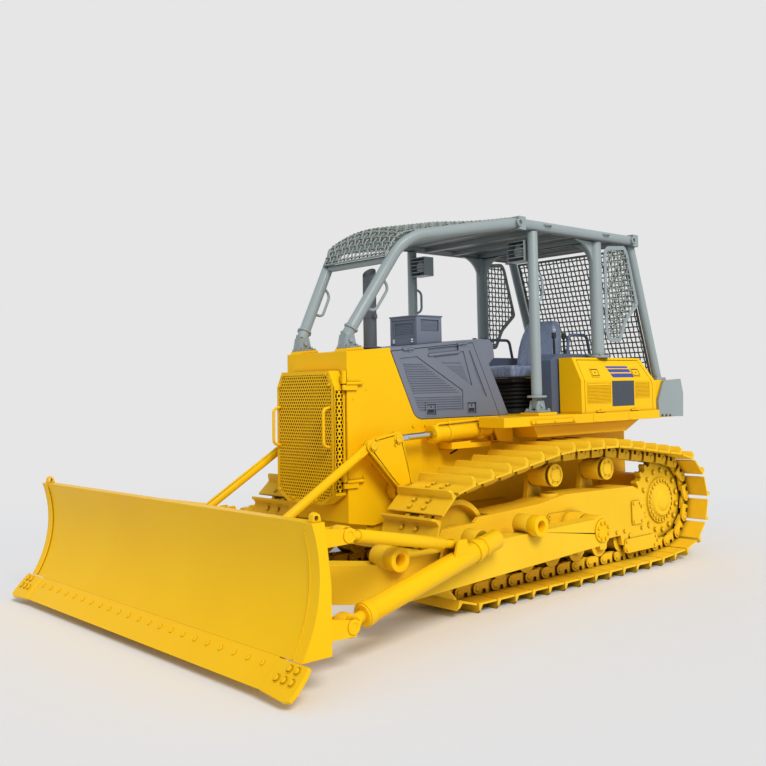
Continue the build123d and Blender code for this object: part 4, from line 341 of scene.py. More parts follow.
def box(left, low, right, high):
    """The four corners of a rectangle, anticlockwise."""
    return [(left, low), (right, low), (right, high), (left, high)]


def upright(u, v, w):
    """Outline in x and z, thickness across the machine."""
    return (u, w, v)


def level(u, v, w):
    """Outline in x and y, thickness upwards."""
    return (u, v, w)


def facing(u, v, w):
    """Outline in y and z, thickness along the machine."""
    return (w, u, v)


print("places for an outline:", upright.__doc__, level.__doc__, facing.__doc__)

# %% Turned bodies, tubes and bolts
def axes_for(direction):
    """Two directions square to this one."""
    forward = Vector(direction).normalized()
    helper = Vector((0, 0, 1)) if abs(forward.z) < 0.9 else Vector((1, 0, 0))
    side = forward.cross(helper).normalized()
    return forward, side, side.cross(forward)


def turned(shape, profile, start, direction, steps=24):
    """A body turned about an axis from (distance along, radius) pairs."""
    forward, side, up = axes_for(direction)
    loops = []
    for along, radius in profile:
        centre = Vector(start) + forward * along
        loops.append([centre + (side * cos(turn) + up * sin(turn)) * radius
                      for turn in (2 * pi * step / steps for step in range(steps))])
    sections(shape, loops)


def rounded(points, bend, steps=6):
    """The same line with each inner corner replaced by an arc of about this bend radius."""
    points = [Vector(point) for point in points]
    line = [points[0]]
    for before, corner, after in zip(points, points[1:], points[2:]):
        back, ahead = (before - corner), (after - corner)
        reach = min(bend / tan(back.angle(ahead) / 2), back.length * 0.49, ahead.length * 0.49)
        first, last = corner + back.normalized() * reach, corner + ahead.normalized() * reach
        for step in range(steps + 1):
            share = step / steps
            line.append(first * (1 - share) ** 2 + corner * 2 * share * (1 - share) + last * share ** 2)
    return line + [points[-1]]


def tube(shape, line, radius, sides=12):
    """A round bar along a line of points, with its section carried along without twist."""
    line = [Vector(point) for point in line]
    _, side, _ = axes_for(line[1] - line[0])
    loops = []
    for index, point in enumerate(line):
        before, after = line[max(index - 1, 0)], line[min(index + 1, len(line) - 1)]
        forward = (after - before).normalized()
        side = (side - forward * side.dot(forward)).normalized()
        up = side.cross(forward)
        loops.append([point + (side * cos(turn) + up * sin(turn)) * radius
                      for turn in (2 * pi * step / sides for step in range(sides))])
    sections(shape, loops)


def bolt(shape, at, direction, across):
    """Washer and hexagon head with a chamfered crown; across is the width over the flats."""
    washer, corner = across * 0.72, across * 0.577
    turned(shape, [(-2, washer), (across * 0.1, washer)], at, direction, 16)
    turned(shape, [(0, corner), (across * 0.5, corner), (across * 0.62, across * 0.47)], at, direction, 6)


sample = Shape()
bolt(sample, (0, 0, 0), (0, 0, 1), 24)
print("faces of one bolt:", len(sample.faces))

# %% [markdown]
# ## Tracks
# A track is a chain of forged links with a flat shoe bolted on each. The pins sit evenly spaced on a line
# that runs round the idler, over the two carrier rollers, round the sprocket and back under the rear
# roller, so the line is built from arcs and tangents and then walked in forty equal steps. Each step
# carries one shoe with its single grouser bar, four bolts, two strands of cranked links, a bushing and the
# pin's ends.

# %% The line of the pins
IDLER, IDLER_R = (620, 510), 385
CARRIERS, CARRIER_LINE_R = ((-540, 930), (-1280, 930)), 156
SPROCKET, SPROCKET_R = (-2250, 555), 398
REAR_ROLLER, REAR_ROLLER_R = (-1825, 270), 145
SHOE_COUNT, TRACK_Y, SHOE_HALF = 40, 895, 305


def chain_pins():
    """Pin centres (x, z), evenly spaced round the wheels."""
    wheels = [(*IDLER, IDLER_R)] + [(*centre, CARRIER_LINE_R) for centre in CARRIERS]
    wheels += [(*SPROCKET, SPROCKET_R), (*REAR_ROLLER, REAR_ROLLER_R)]
    follow = wheels[1:] + wheels[:1]
    normals = [atan2(zb - za, xb - xa) - acos((ra - rb) / hypot(xb - xa, zb - za))
               for (xa, za, ra), (xb, zb, rb) in zip(wheels, follow)]
    runs = []
    for index, ((xa, za, ra), (xb, zb, rb)) in enumerate(zip(wheels, follow)):
        turn = (normals[index] - normals[index - 1]) % (2 * pi)
        runs.append((ra * turn, (xa, za, ra, normals[index - 1]), None))
        out = (cos(normals[index]), sin(normals[index]))
        start, end = (xa + ra * out[0], za + ra * out[1]), (xb + rb * out[0], zb + rb * out[1])
        runs.append((hypot(end[0] - start[0], end[1] - start[1]), None, (start, end)))
    total = sum(run[0] for run in runs)
    pins = []
    for index in range(SHOE_COUNT):
        left = total * index / SHOE_COUNT
        for length, arc, line in runs:
            if left <= length:
                break
            left -= length
        if arc:
            x, z, r, angle = arc
            pins.append((x + r * cos(angle + left / r), z + r * sin(angle + left / r)))
        else:
            start, end = line
            pins.append(tuple(a + (b - a) * left / length for a, b in zip(start, end)))
    return pins


PINS = chain_pins()
print("link pitch in mm:", round(hypot(PINS[1][0] - PINS[0][0], PINS[1][1] - PINS[0][1]), 1))

# %% One link of the chain
PLATE_LOW, PLATE_HIGH, TIP, CLIP = 46, 62, 125, 22
GROUSER_FOOT, GROUSER_TOP, SHOE_GAP, ROUND, NIP = 44, 17, 4, 9, 3
BOLT_RUNS, BOLT_OFFSET, BOLT_ACROSS = (52, 118), 78, 30
LINK_R, RAIL_LOW, WINDOW_TOP, LINK_SHEET, STRAND_IN = 43, -48, 8, 24, 52
PIN_R, BUSHING_R, BUSHING_HALF = 21, 31, 53


def link_maker(index, y_centre):
    """A place function for link number `index`: u runs along the link, v out of the loop, w across."""
    (x, z), (end_x, end_z) = PINS[index], PINS[(index + 1) % SHOE_COUNT]
    length = hypot(end_x - x, end_z - z)
    along = ((end_x - x) / length, (end_z - z) / length)
    out = (along[1], -along[0])

    def place(u, v, w):
        return (x + u * along[0] + v * out[0], y_centre + w, z + u * along[1] + v * out[1])

    direction = Vector(place(0, 1, 0)) - Vector(place(0, 0, 0))
    return place, direction, length


def shoe_section(length, drop):
    """Shoe and grouser in profile; drop lowers the grouser where its ends are clipped."""
    end = length - SHOE_GAP
    foot, top, tip = end - GROUSER_FOOT, end - GROUSER_TOP, TIP - drop
    return [(SHOE_GAP, PLATE_LOW), (SHOE_GAP, PLATE_HIGH - 4), (ROUND, PLATE_HIGH), (foot, PLATE_HIGH),
            (foot + ROUND, PLATE_HIGH + ROUND), (top - NIP, tip - NIP), (top, tip), (end - NIP, tip),
            (end, tip - NIP), (end, PLATE_LOW)]


def strand_half(length, start):
    """Outline of one end of a cranked link: a round boss, the running rail and a window for the nut."""
    turns = [radians(100 + 160 * step / 10) for step in range(11)]
    outline = [(LINK_R * cos(turn), LINK_R * sin(turn)) for turn in turns]
    outline += [(LINK_R * 0.6, RAIL_LOW), (length * 0.62, RAIL_LOW)]
    for share, v in ((0.62, PLATE_LOW), (0.47, PLATE_LOW), (0.44, WINDOW_TOP), (0.27, WINDOW_TOP),
                     (0.24, PLATE_LOW), (0.12, PLATE_LOW)):
        outline.append((length * share, v))
    return outline if start else [(length - u, v) for u, v in outline]


def track_link(shape, index, y_centre):
    """Shoe, bolts, two strands, bushing and pin ends of one link."""
    place, out, length = link_maker(index, y_centre)
    widths = ((-SHOE_HALF, CLIP), (-SHOE_HALF + CLIP, 0), (SHOE_HALF - CLIP, 0), (SHOE_HALF, CLIP))
    sections(shape, [[place(u, v, w) for u, v in shoe_section(length, drop)] for w, drop in widths])
    for side in (-1, 1):
        for run in BOLT_RUNS:
            bolt(shape, place(run, PLATE_HIGH, side * BOLT_OFFSET), out, BOLT_ACROSS)
        for start, near in ((True, STRAND_IN), (False, STRAND_IN + LINK_SHEET - 2)):
            low, high = sorted((side * near, side * (near + LINK_SHEET)))
            plate(shape, strand_half(length, start), low, high, place)
        cap = [(0, PIN_R), (5, PIN_R), (8, PIN_R - 4)]
        turned(shape, cap, place(length, 0, side * (STRAND_IN + 2 * LINK_SHEET - 4)), (0, side, 0), 14)
    bushing = [(0, BUSHING_R), (2 * BUSHING_HALF, BUSHING_R)]
    turned(shape, bushing, place(0, 0, -BUSHING_HALF), (0, 1, 0), 14)


for side_name, side in (("left", 1), ("right", -1)):
    chain = Shape()
    for index in range(SHOE_COUNT):
        track_link(chain, index, side * TRACK_Y)
    piece = chain.become(f"track_chain_{side_name}", cast_enamel, "chassis")
    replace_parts(piece, f"track_{side_name}")

# %% [markdown]
# ## Sheet with holes, and woven wire
# The radiator mask is punched sheet: staggered round holes with a pitch a little wider than the hole. The
# canopy's screens are wire that passes over and under at each crossing. Both fill an outline, so a scanline
# finds where a level cuts it, and a frame along the edge hides the cut cells and the wires' ends, as on the
# real machine.


# %% Outlines, holes and wires
def spans(outline, level):
    """Where a line at this level of the second coordinate lies inside an outline."""
    edges = zip(outline, outline[1:] + outline[:1])
    hits = sorted(ax + (bx - ax) * (level - az) / (bz - az)
                  for (ax, az), (bx, bz) in edges if (az - level) * (bz - level) < 0)
    return list(zip(hits[::2], hits[1::2]))


def inset(outline, distance):
    """The outline moved inwards, with its corners listed anticlockwise."""
    moved = []
    for index, corner in enumerate(outline):
        before, after = outline[index - 1], outline[(index + 1) % len(outline)]
        first = Vector((corner[0] - before[0], corner[1] - before[1])).normalized()
        second = Vector((after[0] - corner[0], after[1] - corner[1])).normalized()
        share = distance / (1 + first.dot(second))
        moved.append((corner[0] - share * (first.y + second.y), corner[1] + share * (first.x + second.x)))
    return moved


def arced(outline, bend, steps=5):
    """A closed outline with rounded corners."""
    line = []
    for index in range(len(outline)):
        before, corner, after = (Vector(outline[(index + shift) % len(outline)]) for shift in (-1, 0, 1))
        back, ahead = before - corner, after - corner
        reach = min(bend, back.length * 0.45, ahead.length * 0.45)
        first, last = corner + back.normalized() * reach, corner + ahead.normalized() * reach
        for step in range(steps + 1):
            share = step / steps
            point = first * (1 - share) ** 2 + corner * 2 * share * (1 - share) + last * share ** 2
            line.append(tuple(point))
    return line


def ring(shape, outer, inner, low, high, place):
    """A flat frame between two outlines with equal corner counts."""
    order = ((outer, low), (outer, high), (inner, high), (inner, low), (outer, low))
    sections(shape, [[place(u, v, w) for u, v in line] for line, w in order], closed_ends=False)


def perforated(shape, outline, pitch, hole, low, high, place):
    """Staggered round holes over an outline: one cell with a bore per hole."""
    us, vs = zip(*outline)
    columns, rows = int((max(us) - min(us)) // pitch), int((max(vs) - min(vs)) // (pitch * 0.866))
    half_u, half_v = (max(us) - min(us)) / columns / 2, (max(vs) - min(vs)) / rows / 2
    rim = [(1, 0), (1, 1), (0, 1), (-1, 1), (-1, 0), (-1, -1), (0, -1), (1, -1)]
    rim = [(u * half_u, v * half_v) for u, v in rim]
    bore = [(hole / 2 * cos(k * pi / 4), hole / 2 * sin(k * pi / 4)) for k in range(8)]
    for row in range(rows):
        v = min(vs) + (2 * row + 1) * half_v
        for column in range(columns - row % 2):
            u = min(us) + (2 * column + 1 + row % 2) * half_u
            if any(left < u < right for left, right in spans(outline, v)):
                loops = ((rim, high), (bore, high), (bore, low), (rim, low))
                sections(shape, [[place(u + a, v + b, w) for a, b in loop] for loop, w in loops], False)


def woven(shape, outline, pitch, wire, place):
    """Wires of this radius within an outline, crossing over and under."""
    turned_outline = [(v, u) for u, v in outline]
    us, vs = zip(*outline)
    columns = [min(us) + pitch * (k + 0.5) for k in range(int((max(us) - min(us)) / pitch))]
    rows = [min(vs) + pitch * (k + 0.5) for k in range(int((max(vs) - min(vs)) / pitch))]
    for lines, stations, area, lift in ((rows, columns, outline, 1), (columns, rows, turned_outline, -1)):
        for index, level in enumerate(lines):
            for start, end in spans(area, level):
                crossings = [(at, lift * wire * (-1) ** (index + k)) for k, at in enumerate(stations)]
                run = [(start, 0)] + [(at, w) for at, w in crossings if start < at < end] + [(end, 0)]
                path = [place(at, level, w) if lift == 1 else place(level, at, w) for at, w in run]
                tube(shape, path, wire, 6)


def node_span(name):
    """Lowest and highest corner of a node in millimetres."""
    values = list(zip(*(vertex.co for vertex in nodes[name].data.vertices)))
    return [min(axis) / MM for axis in values], [max(axis) / MM for axis in values]


print("screens and masks: spans, inset, arced, ring, perforated, woven")

# %% [markdown]
# The mask is a shallow box: its front and its sides are punched, and the edges are folded. An image of
# holes would be lighter, but real holes show the dark core behind them from every side. Two bent handles
# and eight bolts let one person swing it open, so everything here rides on the grille door.

# %% Radiator mask
MASK_BACK, MASK_FRONT, MASK_HALF, MASK_FOOT, MASK_TOP = 1219, 1331, 380, 800, 1845
MASK_SHEET, FRONT_PITCH, FRONT_HOLE, SIDE_PITCH, SIDE_HOLE = 6, 28, 20, 33, 25
WALL_LOW, WALL_HIGH = MASK_FOOT + 80, MASK_TOP - 125
HANDLE_FOOT, HANDLE_TOP, HANDLE_REACH, HANDLE_R, HANDLE_BEND = 1250, 1560, 68, 12, 46
MASK_BOLTS = ((150, MASK_FOOT + 34), (338, MASK_FOOT + 92), (332, MASK_TOP - 110), (292, MASK_TOP - 26))
HINGE_X, HINGE_Y, HINGE_FEET = 1245, 402, (930, 1690)
KNUCKLE = [(0, 18), (2, 20), (100, 20), (102, 18)]

mask_left = [(MASK_HALF - 145, MASK_FOOT), (MASK_HALF, WALL_LOW), (MASK_HALF, WALL_HIGH),
             (MASK_HALF - 70, MASK_TOP)]
mask_line = mask_left + [(-y, z) for y, z in reversed(mask_left)]
side_wall = box(MASK_BACK, WALL_LOW, MASK_FRONT, WALL_HIGH)
side_field = box(MASK_BACK + 16, WALL_LOW + 20, MASK_FRONT - 12, WALL_HIGH - 30)

mask = Shape()
perforated(mask, side_field, SIDE_PITCH, SIDE_HOLE, MASK_HALF - MASK_SHEET, MASK_HALF, upright)
ring(mask, side_wall, inset(side_field, 4), MASK_HALF - MASK_SHEET, MASK_HALF, upright)
handle = [(-4, HANDLE_FOOT), (HANDLE_REACH, HANDLE_FOOT + 12), (HANDLE_REACH, HANDLE_TOP - 12),
          (-4, HANDLE_TOP)]
handle = [(MASK_FRONT + out, MASK_HALF - 44, z) for out, z in handle]
tube(mask, rounded(handle, HANDLE_BEND), HANDLE_R, 14)
for bolt_y, bolt_z in MASK_BOLTS:
    bolt(mask, (MASK_FRONT + 2, bolt_y, bolt_z), (1, 0, 0), 22)
mask.both_sides()
perforated(mask, inset(mask_line, 16), FRONT_PITCH, FRONT_HOLE, MASK_FRONT - MASK_SHEET, MASK_FRONT, facing)
ring(mask, mask_line, inset(mask_line, 30), MASK_FRONT - MASK_SHEET, MASK_FRONT + 2, facing)
for start, end in zip(mask_line, mask_line[1:] + mask_line[:1]):
    if abs(start[0] - end[0]) > 1:
        fold = Vector((start[1] - end[1], end[0] - start[0])).normalized() * MASK_SHEET
        strip = [start, end, (end[0] + fold.x, end[1] + fold.y), (start[0] + fold.x, start[1] + fold.y)]
        plate(mask, strip, MASK_BACK, MASK_FRONT, facing)
for hinge_z in HINGE_FEET:
    turned(mask, KNUCKLE, (HINGE_X, HINGE_Y, hinge_z + 50.5), (0, 0, 1), 18)
    plate(mask, box(HINGE_X - 14, HINGE_Y - 28, HINGE_X + 14, HINGE_Y), hinge_z + 52, hinge_z + 98, level)
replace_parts(mask.become("radiator_mask", yellow_enamel, "radiator_grille"), "radiator_grille")

# %% Gauze behind the holes
# Black wire gauze, almost without shine, so the holes stay dark. Real gauze has about 2 mm between wires; it
# is drawn at 8 mm. A diagonal wave is 0.36 m long at scale 1.
gauze_black, tree, shader, where = finish("black_wire_gauze", Roughness=0.7, Specular_IOR_Level=0.1,
                                          Base_Color=linear("#1D1A14"))
DIAGONAL_WAVE, GAUZE_PITCH, GAUZE_SHEET = 0.36, 8, 3
weave = add(tree, "ShaderNodeTexWave", {"Vector": where, "Scale": DIAGONAL_WAVE * per_metre(GAUZE_PITCH)},
            bands_direction="DIAGONAL")
threads = add(tree, "ShaderNodeBump", {"Height": weave.outputs["Fac"], "Strength": 0.6, "Distance": 2 * MM})
tree.links.new(threads.outputs["Normal"], shader.inputs["Normal"])
gauze = Shape()
gauze_y, gauze_x = MASK_HALF - 25, MASK_FRONT - 34
plate(gauze, inset(side_wall, 4), gauze_y, gauze_y + GAUZE_SHEET, upright)
gauze.both_sides()
plate(gauze, inset(mask_line, 12), gauze_x, gauze_x + GAUZE_SHEET, facing)
gauze.become("mask_gauze", gauze_black, "radiator_grille")

# %% [markdown]
# The canopy's screens: two wire frames at the rear corners, the rear window's screen between its tubes, and
# the bent screen over the hood from the cross tube to the roof. The wire is 15 mm thick, and each one is a
# tube with a wave in it, because a flat grid would lose the weave's broken highlights.

# %% Wire screens
WIRE_R, WIRE_PITCH, FRAME_WIDE, FRAME_HALF, FRAME_BEND = 7.5, 52, 42, 5, 36
# Enamel on woven wire: dull, with painted shade at the crossings.
wire_enamel = painted("grey_green_enamel_on_wire", "#97A3A2", "#848F8D", 0.45, 6, 0.4, 0.0, 0.3,
                      "#1F2423", 70)
# The rear screen's wire is painted darker than the other screens' wire, standing in for the shade it lies in,
# and has painted shade at its crossings.
shaded_rear_wire_enamel = painted("grey_enamel_on_rear_wire_in_painted_shade", "#6C7675", "#5E6766", 0.45, 6, 0.4, 0.0, 0.3,
                           "#1F2423", 70)

quarter = [(-1690, 3030), (-1990, 3060), (-2040, 3000), (-2195, 2479), (-1981, 2304), (-1868, 2102),
           (-1692, 2099), (-1632, 2178), (-1640, 2965)]
quarter = arced(quarter, FRAME_BEND)
guard_mid = node_span("quarter_guards")[1][1] - 4
frames = Shape()
ring(frames, quarter, inset(quarter, FRAME_WIDE), guard_mid - FRAME_HALF, guard_mid + FRAME_HALF, upright)
frames.both_sides()
frames.become("quarter_frames", canopy_enamel, "chassis", SMALL_EDGE_MM)
wires = Shape()
woven(wires, inset(quarter, 30), WIRE_PITCH, WIRE_R, lambda u, v, w: (u, guard_mid + w, v))
wires.both_sides()
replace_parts(wires.become("quarter_wires", wire_enamel, "chassis"), "quarter_guards")

# %% Rear screen
REAR_SHEET, REAR_FRAME_WIDE, REAR_FRAME_HALF = 10, 22, 7
rear_low, rear_high = node_span("rear_mesh")
lean = (rear_high[0] - rear_low[0] - REAR_SHEET) / (rear_high[2] - rear_low[2])


def on_rear_screen(u, v, w):
    """Across, up and out of the leaning rear screen."""
    return (rear_low[0] + REAR_SHEET / 2 + lean * (v - rear_low[2]) - w, u, v)


rear_line = box(rear_low[1], rear_low[2], rear_high[1], rear_high[2])
wires = Shape()
woven(wires, rear_line, WIRE_PITCH, WIRE_R, on_rear_screen)
ring(wires, rear_line, inset(rear_line, REAR_FRAME_WIDE), -REAR_FRAME_HALF, REAR_FRAME_HALF, on_rear_screen)
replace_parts(wires.become("rear_screen", shaded_rear_wire_enamel, "chassis"), "rear_mesh")

# %% [markdown]
# The screen over the hood lies on top of the bent tubes: its line is theirs, moved out by the tube's radius
# and the wire's. It is crowned between the tubes, so a function bends the flat weave: it takes a place
# across and along the screen and gives the place in the machine. A lattice would do it too, but couldn't
# keep the wires' thickness.

# %% Screen over the hood
SWEEP_FOOT_X, SWEEP_FOOT_Y, SWEEP_SPREAD, SWEEP_BEND = 1135, 302, 0.3309, 420
BULGE, ROOM_TOP, CROWN_RUN, HEM_R = 75, 3163, 260, 9
TOP_PROFILE = [(806, 0, 2787), (690, 0, 2980), (-340, 0, ROOM_TOP)]
top_line = [Vector((point[0], point[2])) for point in rounded(TOP_PROFILE, SWEEP_BEND, 10)]
top_lengths = [0.0]
for before, after in zip(top_line, top_line[1:]):
    top_lengths.append(top_lengths[-1] + (after - before).length)


def sweep_half(x):
    """Half the width between the bent tubes at x."""
    return SWEEP_FOOT_Y + SWEEP_SPREAD * (SWEEP_FOOT_X - x)


def on_top_screen(u, v, w):
    """Across, along and out of the bent screen."""
    index = max(k for k in range(len(top_line) - 1) if top_lengths[k] <= v or k == 0)
    step = (top_line[index + 1] - top_line[index]).normalized()
    at = top_line[index] + step * (v - top_lengths[index])
    crown = min(BULGE, ROOM_TOP - at.y) * max(0.0, 1 - (u / sweep_half(at.x)) ** 2) * min(1.0, v / CROWN_RUN)
    return (at.x + step.y * (w + crown), u, at.y - step.x * (w + crown))


def screen_half(v):
    """Half the width of the screen at this length along it."""
    return sweep_half(on_top_screen(0, v, 0)[0])


last = top_lengths[-1]
screen_edge = [(screen_half(v), v) for v in (2, last / 2, last - 2)]
wires = Shape()
woven(wires, screen_edge + [(-u, v) for u, v in reversed(screen_edge)], WIRE_PITCH, WIRE_R, on_top_screen)
for side in (-1, 1):
    tube(wires, [on_top_screen(side * screen_half(v), v, 0) for v in top_lengths], HEM_R, 8)
tube(wires, [on_top_screen(u, 4, 0) for u in (-screen_half(4), screen_half(4))], HEM_R, 8)
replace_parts(wires.become("hood_screen", wire_enamel, "chassis"), "front_mesh")

# %% [markdown]
# ## Seat
# The seat is foam in a vinyl cover, still under its clear delivery wrap. Each pad starts as the source's
# plain solid, a little smaller, with a fine even skin. Blender's cloth blows it up from inside, and the
# seams are the lines that are held, so the panels crown between them. The swell is capped so the pad stays
# in its space.

# %% Vinyl under clear wrap
# Navy vinyl gives the dull blue below, and the wrap a hard, creased shine above it; lighter patches of blue
# paint the highlights of the wrap's crumples.
seat_vinyl, tree, shader, where = finish("navy_vinyl_in_clear_wrap", Roughness=0.4, Coat_Weight=1.0,
                                         Coat_Roughness=0.1)
HIGHLIGHT_PATCH_MM, FOLD_MM, FOLD_STRETCH, FOLD_DEEP_MM = 200, 60, 0.35, 26
highlight_patches = add(tree, "ShaderNodeTexNoise", {"Vector": where, "Scale": per_metre(HIGHLIGHT_PATCH_MM), "Detail": 3.0})
# The lighter blue is a painted highlight of the wrap's crumples.
shades = {"Factor": highlight_patches.outputs["Fac"], MIX_A: linear("#5A6C90"), MIX_B: linear("#8598BC")}
vinyl_with_highlights = add(tree, "ShaderNodeMix", shades, data_type="RGBA")
tree.links.new(vinyl_with_highlights.outputs[MIX_RESULT], shader.inputs["Base Color"])
# The wrap's folds are 40 to 90 mm apart and run mostly up and down.
stretch = add(tree, "ShaderNodeMapping", {"Vector": where, "Scale": (1.0, 1.0, FOLD_STRETCH)})
folds = add(tree, "ShaderNodeTexNoise", {"Vector": stretch.outputs["Vector"], "Scale": per_metre(FOLD_MM),
                                         "Detail": 3.0, "Distortion": 1.2})
wrinkle = add(tree, "ShaderNodeBump",
              {"Height": folds.outputs["Fac"], "Strength": 0.9, "Distance": FOLD_DEEP_MM * MM})
for socket in ("Coat Normal", "Normal"):
    tree.links.new(wrinkle.outputs["Normal"], shader.inputs[socket])
print("seat finish:", seat_vinyl.name)

# %% The pads' skin
PAD_SHRINK, PAD_VOXEL, PAD_ROUNDING, BACK_TAPER = 9, 8, 40, 0.32


def narrow_the_top(work):
    """Pulls the upper half of the back rest in towards its top."""
    bmesh.ops.subdivide_edges(work, edges=work.edges, cuts=6, use_grid_fill=True)
    heights = [vertex.co.z for vertex in work.verts]
    waist = (min(heights) + max(heights)) / 2
    for vertex in work.verts:
        above = max(0.0, (vertex.co.z - waist) / (max(heights) - waist))
        vertex.co.y *= 1 - BACK_TAPER * above ** 2


def pad_skin(name, piece_name):
    """A fine, even skin over the source's plain solid, a little smaller than it."""
    mesh = nodes[name].data.copy()
    piece = bpy.data.objects.new(piece_name, mesh)
    bpy.context.collection.objects.link(piece)
    work = bmesh.new()
    work.from_mesh(mesh)
    bmesh.ops.remove_doubles(work, verts=work.verts, dist=0.05 * MM)
    bmesh.ops.recalc_face_normals(work, faces=work.faces)
    work.normal_update()
    for vertex in work.verts:
        vertex.co -= vertex.normal * vertex.calc_shell_factor() * PAD_SHRINK * MM
    if name == "seat_back":
        narrow_the_top(work)
    work.to_mesh(mesh)
    work.free()
    remesh = piece.modifiers.new("skin", "REMESH")
    remesh.mode = "VOXEL"
    remesh.voxel_size = PAD_VOXEL * MM
    rounder = piece.modifiers.new("round", "SMOOTH")
    rounder.factor = 0.5
    rounder.iterations = PAD_ROUNDING
    skin = bpy.data.meshes.new_from_object(piece.evaluated_get(bpy.context.evaluated_depsgraph_get()))
    piece.modifiers.clear()
    piece.data = skin
    return piece


print("skin of the pads in mm:", PAD_VOXEL, "per face")

# %% Blowing up the pads
PAD_CAP, PAD_PRESSURE, PAD_FRAMES = 24, 4.0, 20
PAD_REST, BACK_REST, BACK_REST_HALF, SEAM_HALF = 26, 40, 120, 5


def held_seams(name, across, along):
    """Which points of a pad are held: its seat on the frame and its sewn channels."""
    low, _ = node_span(name)
    return lambda x, y, z: (
        (name == "seat_cushion" and z < low[2] + PAD_REST)
        or (name == "seat_back" and x < low[0] + BACK_REST and abs(y) < BACK_REST_HALF)
        or any(abs(abs(y) - at) < SEAM_HALF for at in across)
        or any(abs((x if name == "seat_cushion" else z) - at) < SEAM_HALF for at in along))


def blow_up(piece, held):
    """Runs the cloth solver under pressure and keeps the capped swell."""
    rest = [vertex.co.copy() for vertex in piece.data.vertices]
    group = piece.vertex_groups.new(name="held")
    group.add([k for k, co in enumerate(rest) if held(co.x / MM, co.y / MM, co.z / MM)], 1.0, "REPLACE")
    cloth = piece.modifiers.new("cloth", "CLOTH")
    cloth.settings.use_pressure = True
    cloth.settings.uniform_pressure_force = PAD_PRESSURE
    cloth.settings.vertex_group_mass = "held"
    cloth.settings.effector_weights.gravity = 0.0
    cloth.settings.quality = 4
    cloth.point_cache.frame_end = PAD_FRAMES
    for step in range(1, PAD_FRAMES + 1):
        bpy.context.scene.frame_set(step)
    puffed = piece.evaluated_get(bpy.context.evaluated_depsgraph_get()).data
    moves = [vertex.co - start for vertex, start in zip(puffed.vertices, rest)]
    piece.modifiers.clear()
    bpy.context.scene.frame_set(1)
    for vertex, start, move in zip(piece.data.vertices, rest, moves):
        vertex.co = start + move * min(1.0, PAD_CAP * MM / max(move.length, 1e-9))


def stuffed(name, piece_name, across, along):
    """A cushion blown up by the cloth solver from the source's plain solid."""
    piece = pad_skin(name, piece_name)
    blow_up(piece, held_seams(name, across, along))
    smooth = piece.modifiers.new("subdivision", "SUBSURF")
    smooth.levels = smooth.render_levels = 1
    piece.data.materials.clear()
    piece.data.materials.append(seat_vinyl)
    piece.data.shade_smooth()
    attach(piece, "chassis")
    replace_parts(piece, name)
    print(f"{piece_name}: {len(piece.data.polygons)} faces")


stuffed("seat_cushion", "seat_pad", (150,), (-1060, -1200, -1340))
stuffed("seat_back", "back_pad", (140,), (2060, 2190))

# %% [markdown]
# Below the pad a rubber bellows hides the seat's spring. It is moulded in folds, so a row of wide and
# narrow outlines makes it, with a tray above and the slide rails below. A relief in the finish would be
# cheaper, but the folds have to show in the outline.

# %% Seat suspension
FOLDS, FOLD_DEPTH, FOLD_INSET, FOLD_BEND, TRAY, TRAY_BEND, TRAY_EDGE_MM = 7, 26, 20, 60, 34, 30, 3
# Moulded rubber: black and dull, with a soft grey edge on each fold.
black_rubber = painted("moulded_black_rubber", "#24262A", "#1C1E22", 0.62, 6, 0.6, 0.0)
base_low, base_high = node_span("seat_base")
base_outline = box(base_low[0], base_low[1], base_high[0], base_high[1])
fold_height = (base_high[2] - base_low[2] - 2 * TRAY) / FOLDS
loops = []
for step in range(2 * FOLDS + 1):
    line = arced(inset(base_outline, FOLD_INSET + FOLD_DEPTH * (step % 2)), FOLD_BEND)
    loops.append([(x, y, base_low[2] + TRAY + step * fold_height / 2) for x, y in line])
bellows = Shape()
sections(bellows, loops)
for low, high in ((base_low[2], base_low[2] + TRAY), (base_high[2] - TRAY, base_high[2] - 1)):
    plate(bellows, arced(base_outline, TRAY_BEND), low, high, level)
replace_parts(bellows.become("seat_bellows", black_rubber, "chassis", TRAY_EDGE_MM), "seat_base")

# %% [markdown]
# ## Engine doors
# The gull-wing doors are mouldings. Their recessed fields have fine horizontal ribs that stiffen the thin
# skin, a lip below the hand grip, and two paddle latches that each sit in a well of their own. The ribs
# could be a bump in the finish, but they catch light along their tops, so each is a small sloped bar. The
# left door is made and mirrored.

# %% Ribs of the doors
FIELD_Y, DOOR_FACE_Y = 392, 400
HOOD_X, HOOD_Z, HOOD_FALL = 755, 2029, 92 / 1038
FRONT_FIELD = [(498, 1552), (455, 1518), (-74, 1500), (-74, 1640), (430, 1928), (622, 1926)]
MIDDLE_FIELD = [(-190, 1700), (-96, 1892), (-60, 1930), (200, 1930), (278, 1912)]
REAR_FIELD = [(-470, 1580), (-350, 1640), (-262, 1790), (-196, 1962), (-232, 1966)]


def hood_line(x):
    """Height of the sloping hood at x."""
    return HOOD_Z + (HOOD_X - x) * HOOD_FALL


def field_ribs(shape, field, pitch, proud):
    """Level ribs across a recessed field, each with a sloped top and foot."""
    levels = [z for _, z in field]
    height = min(levels) + pitch
    while height < max(levels) - pitch / 2:
        for start, end in spans(field, height):
            section = [(FIELD_Y - 1, height - pitch * 0.32), (FIELD_Y + proud, height - pitch * 0.22),
                       (FIELD_Y + proud, height + pitch * 0.02), (FIELD_Y - 1, height + pitch * 0.3)]
            plate(shape, section, start + 8, end - 8, facing)
        height += pitch


ribs = Shape()
for field, pitch, proud in ((FRONT_FIELD, 20, 6), (MIDDLE_FIELD, 12, 3), (REAR_FIELD, 12, 3)):
    field_ribs(ribs, field, pitch, proud)
print("faces of one door's ribs:", len(ribs.faces))

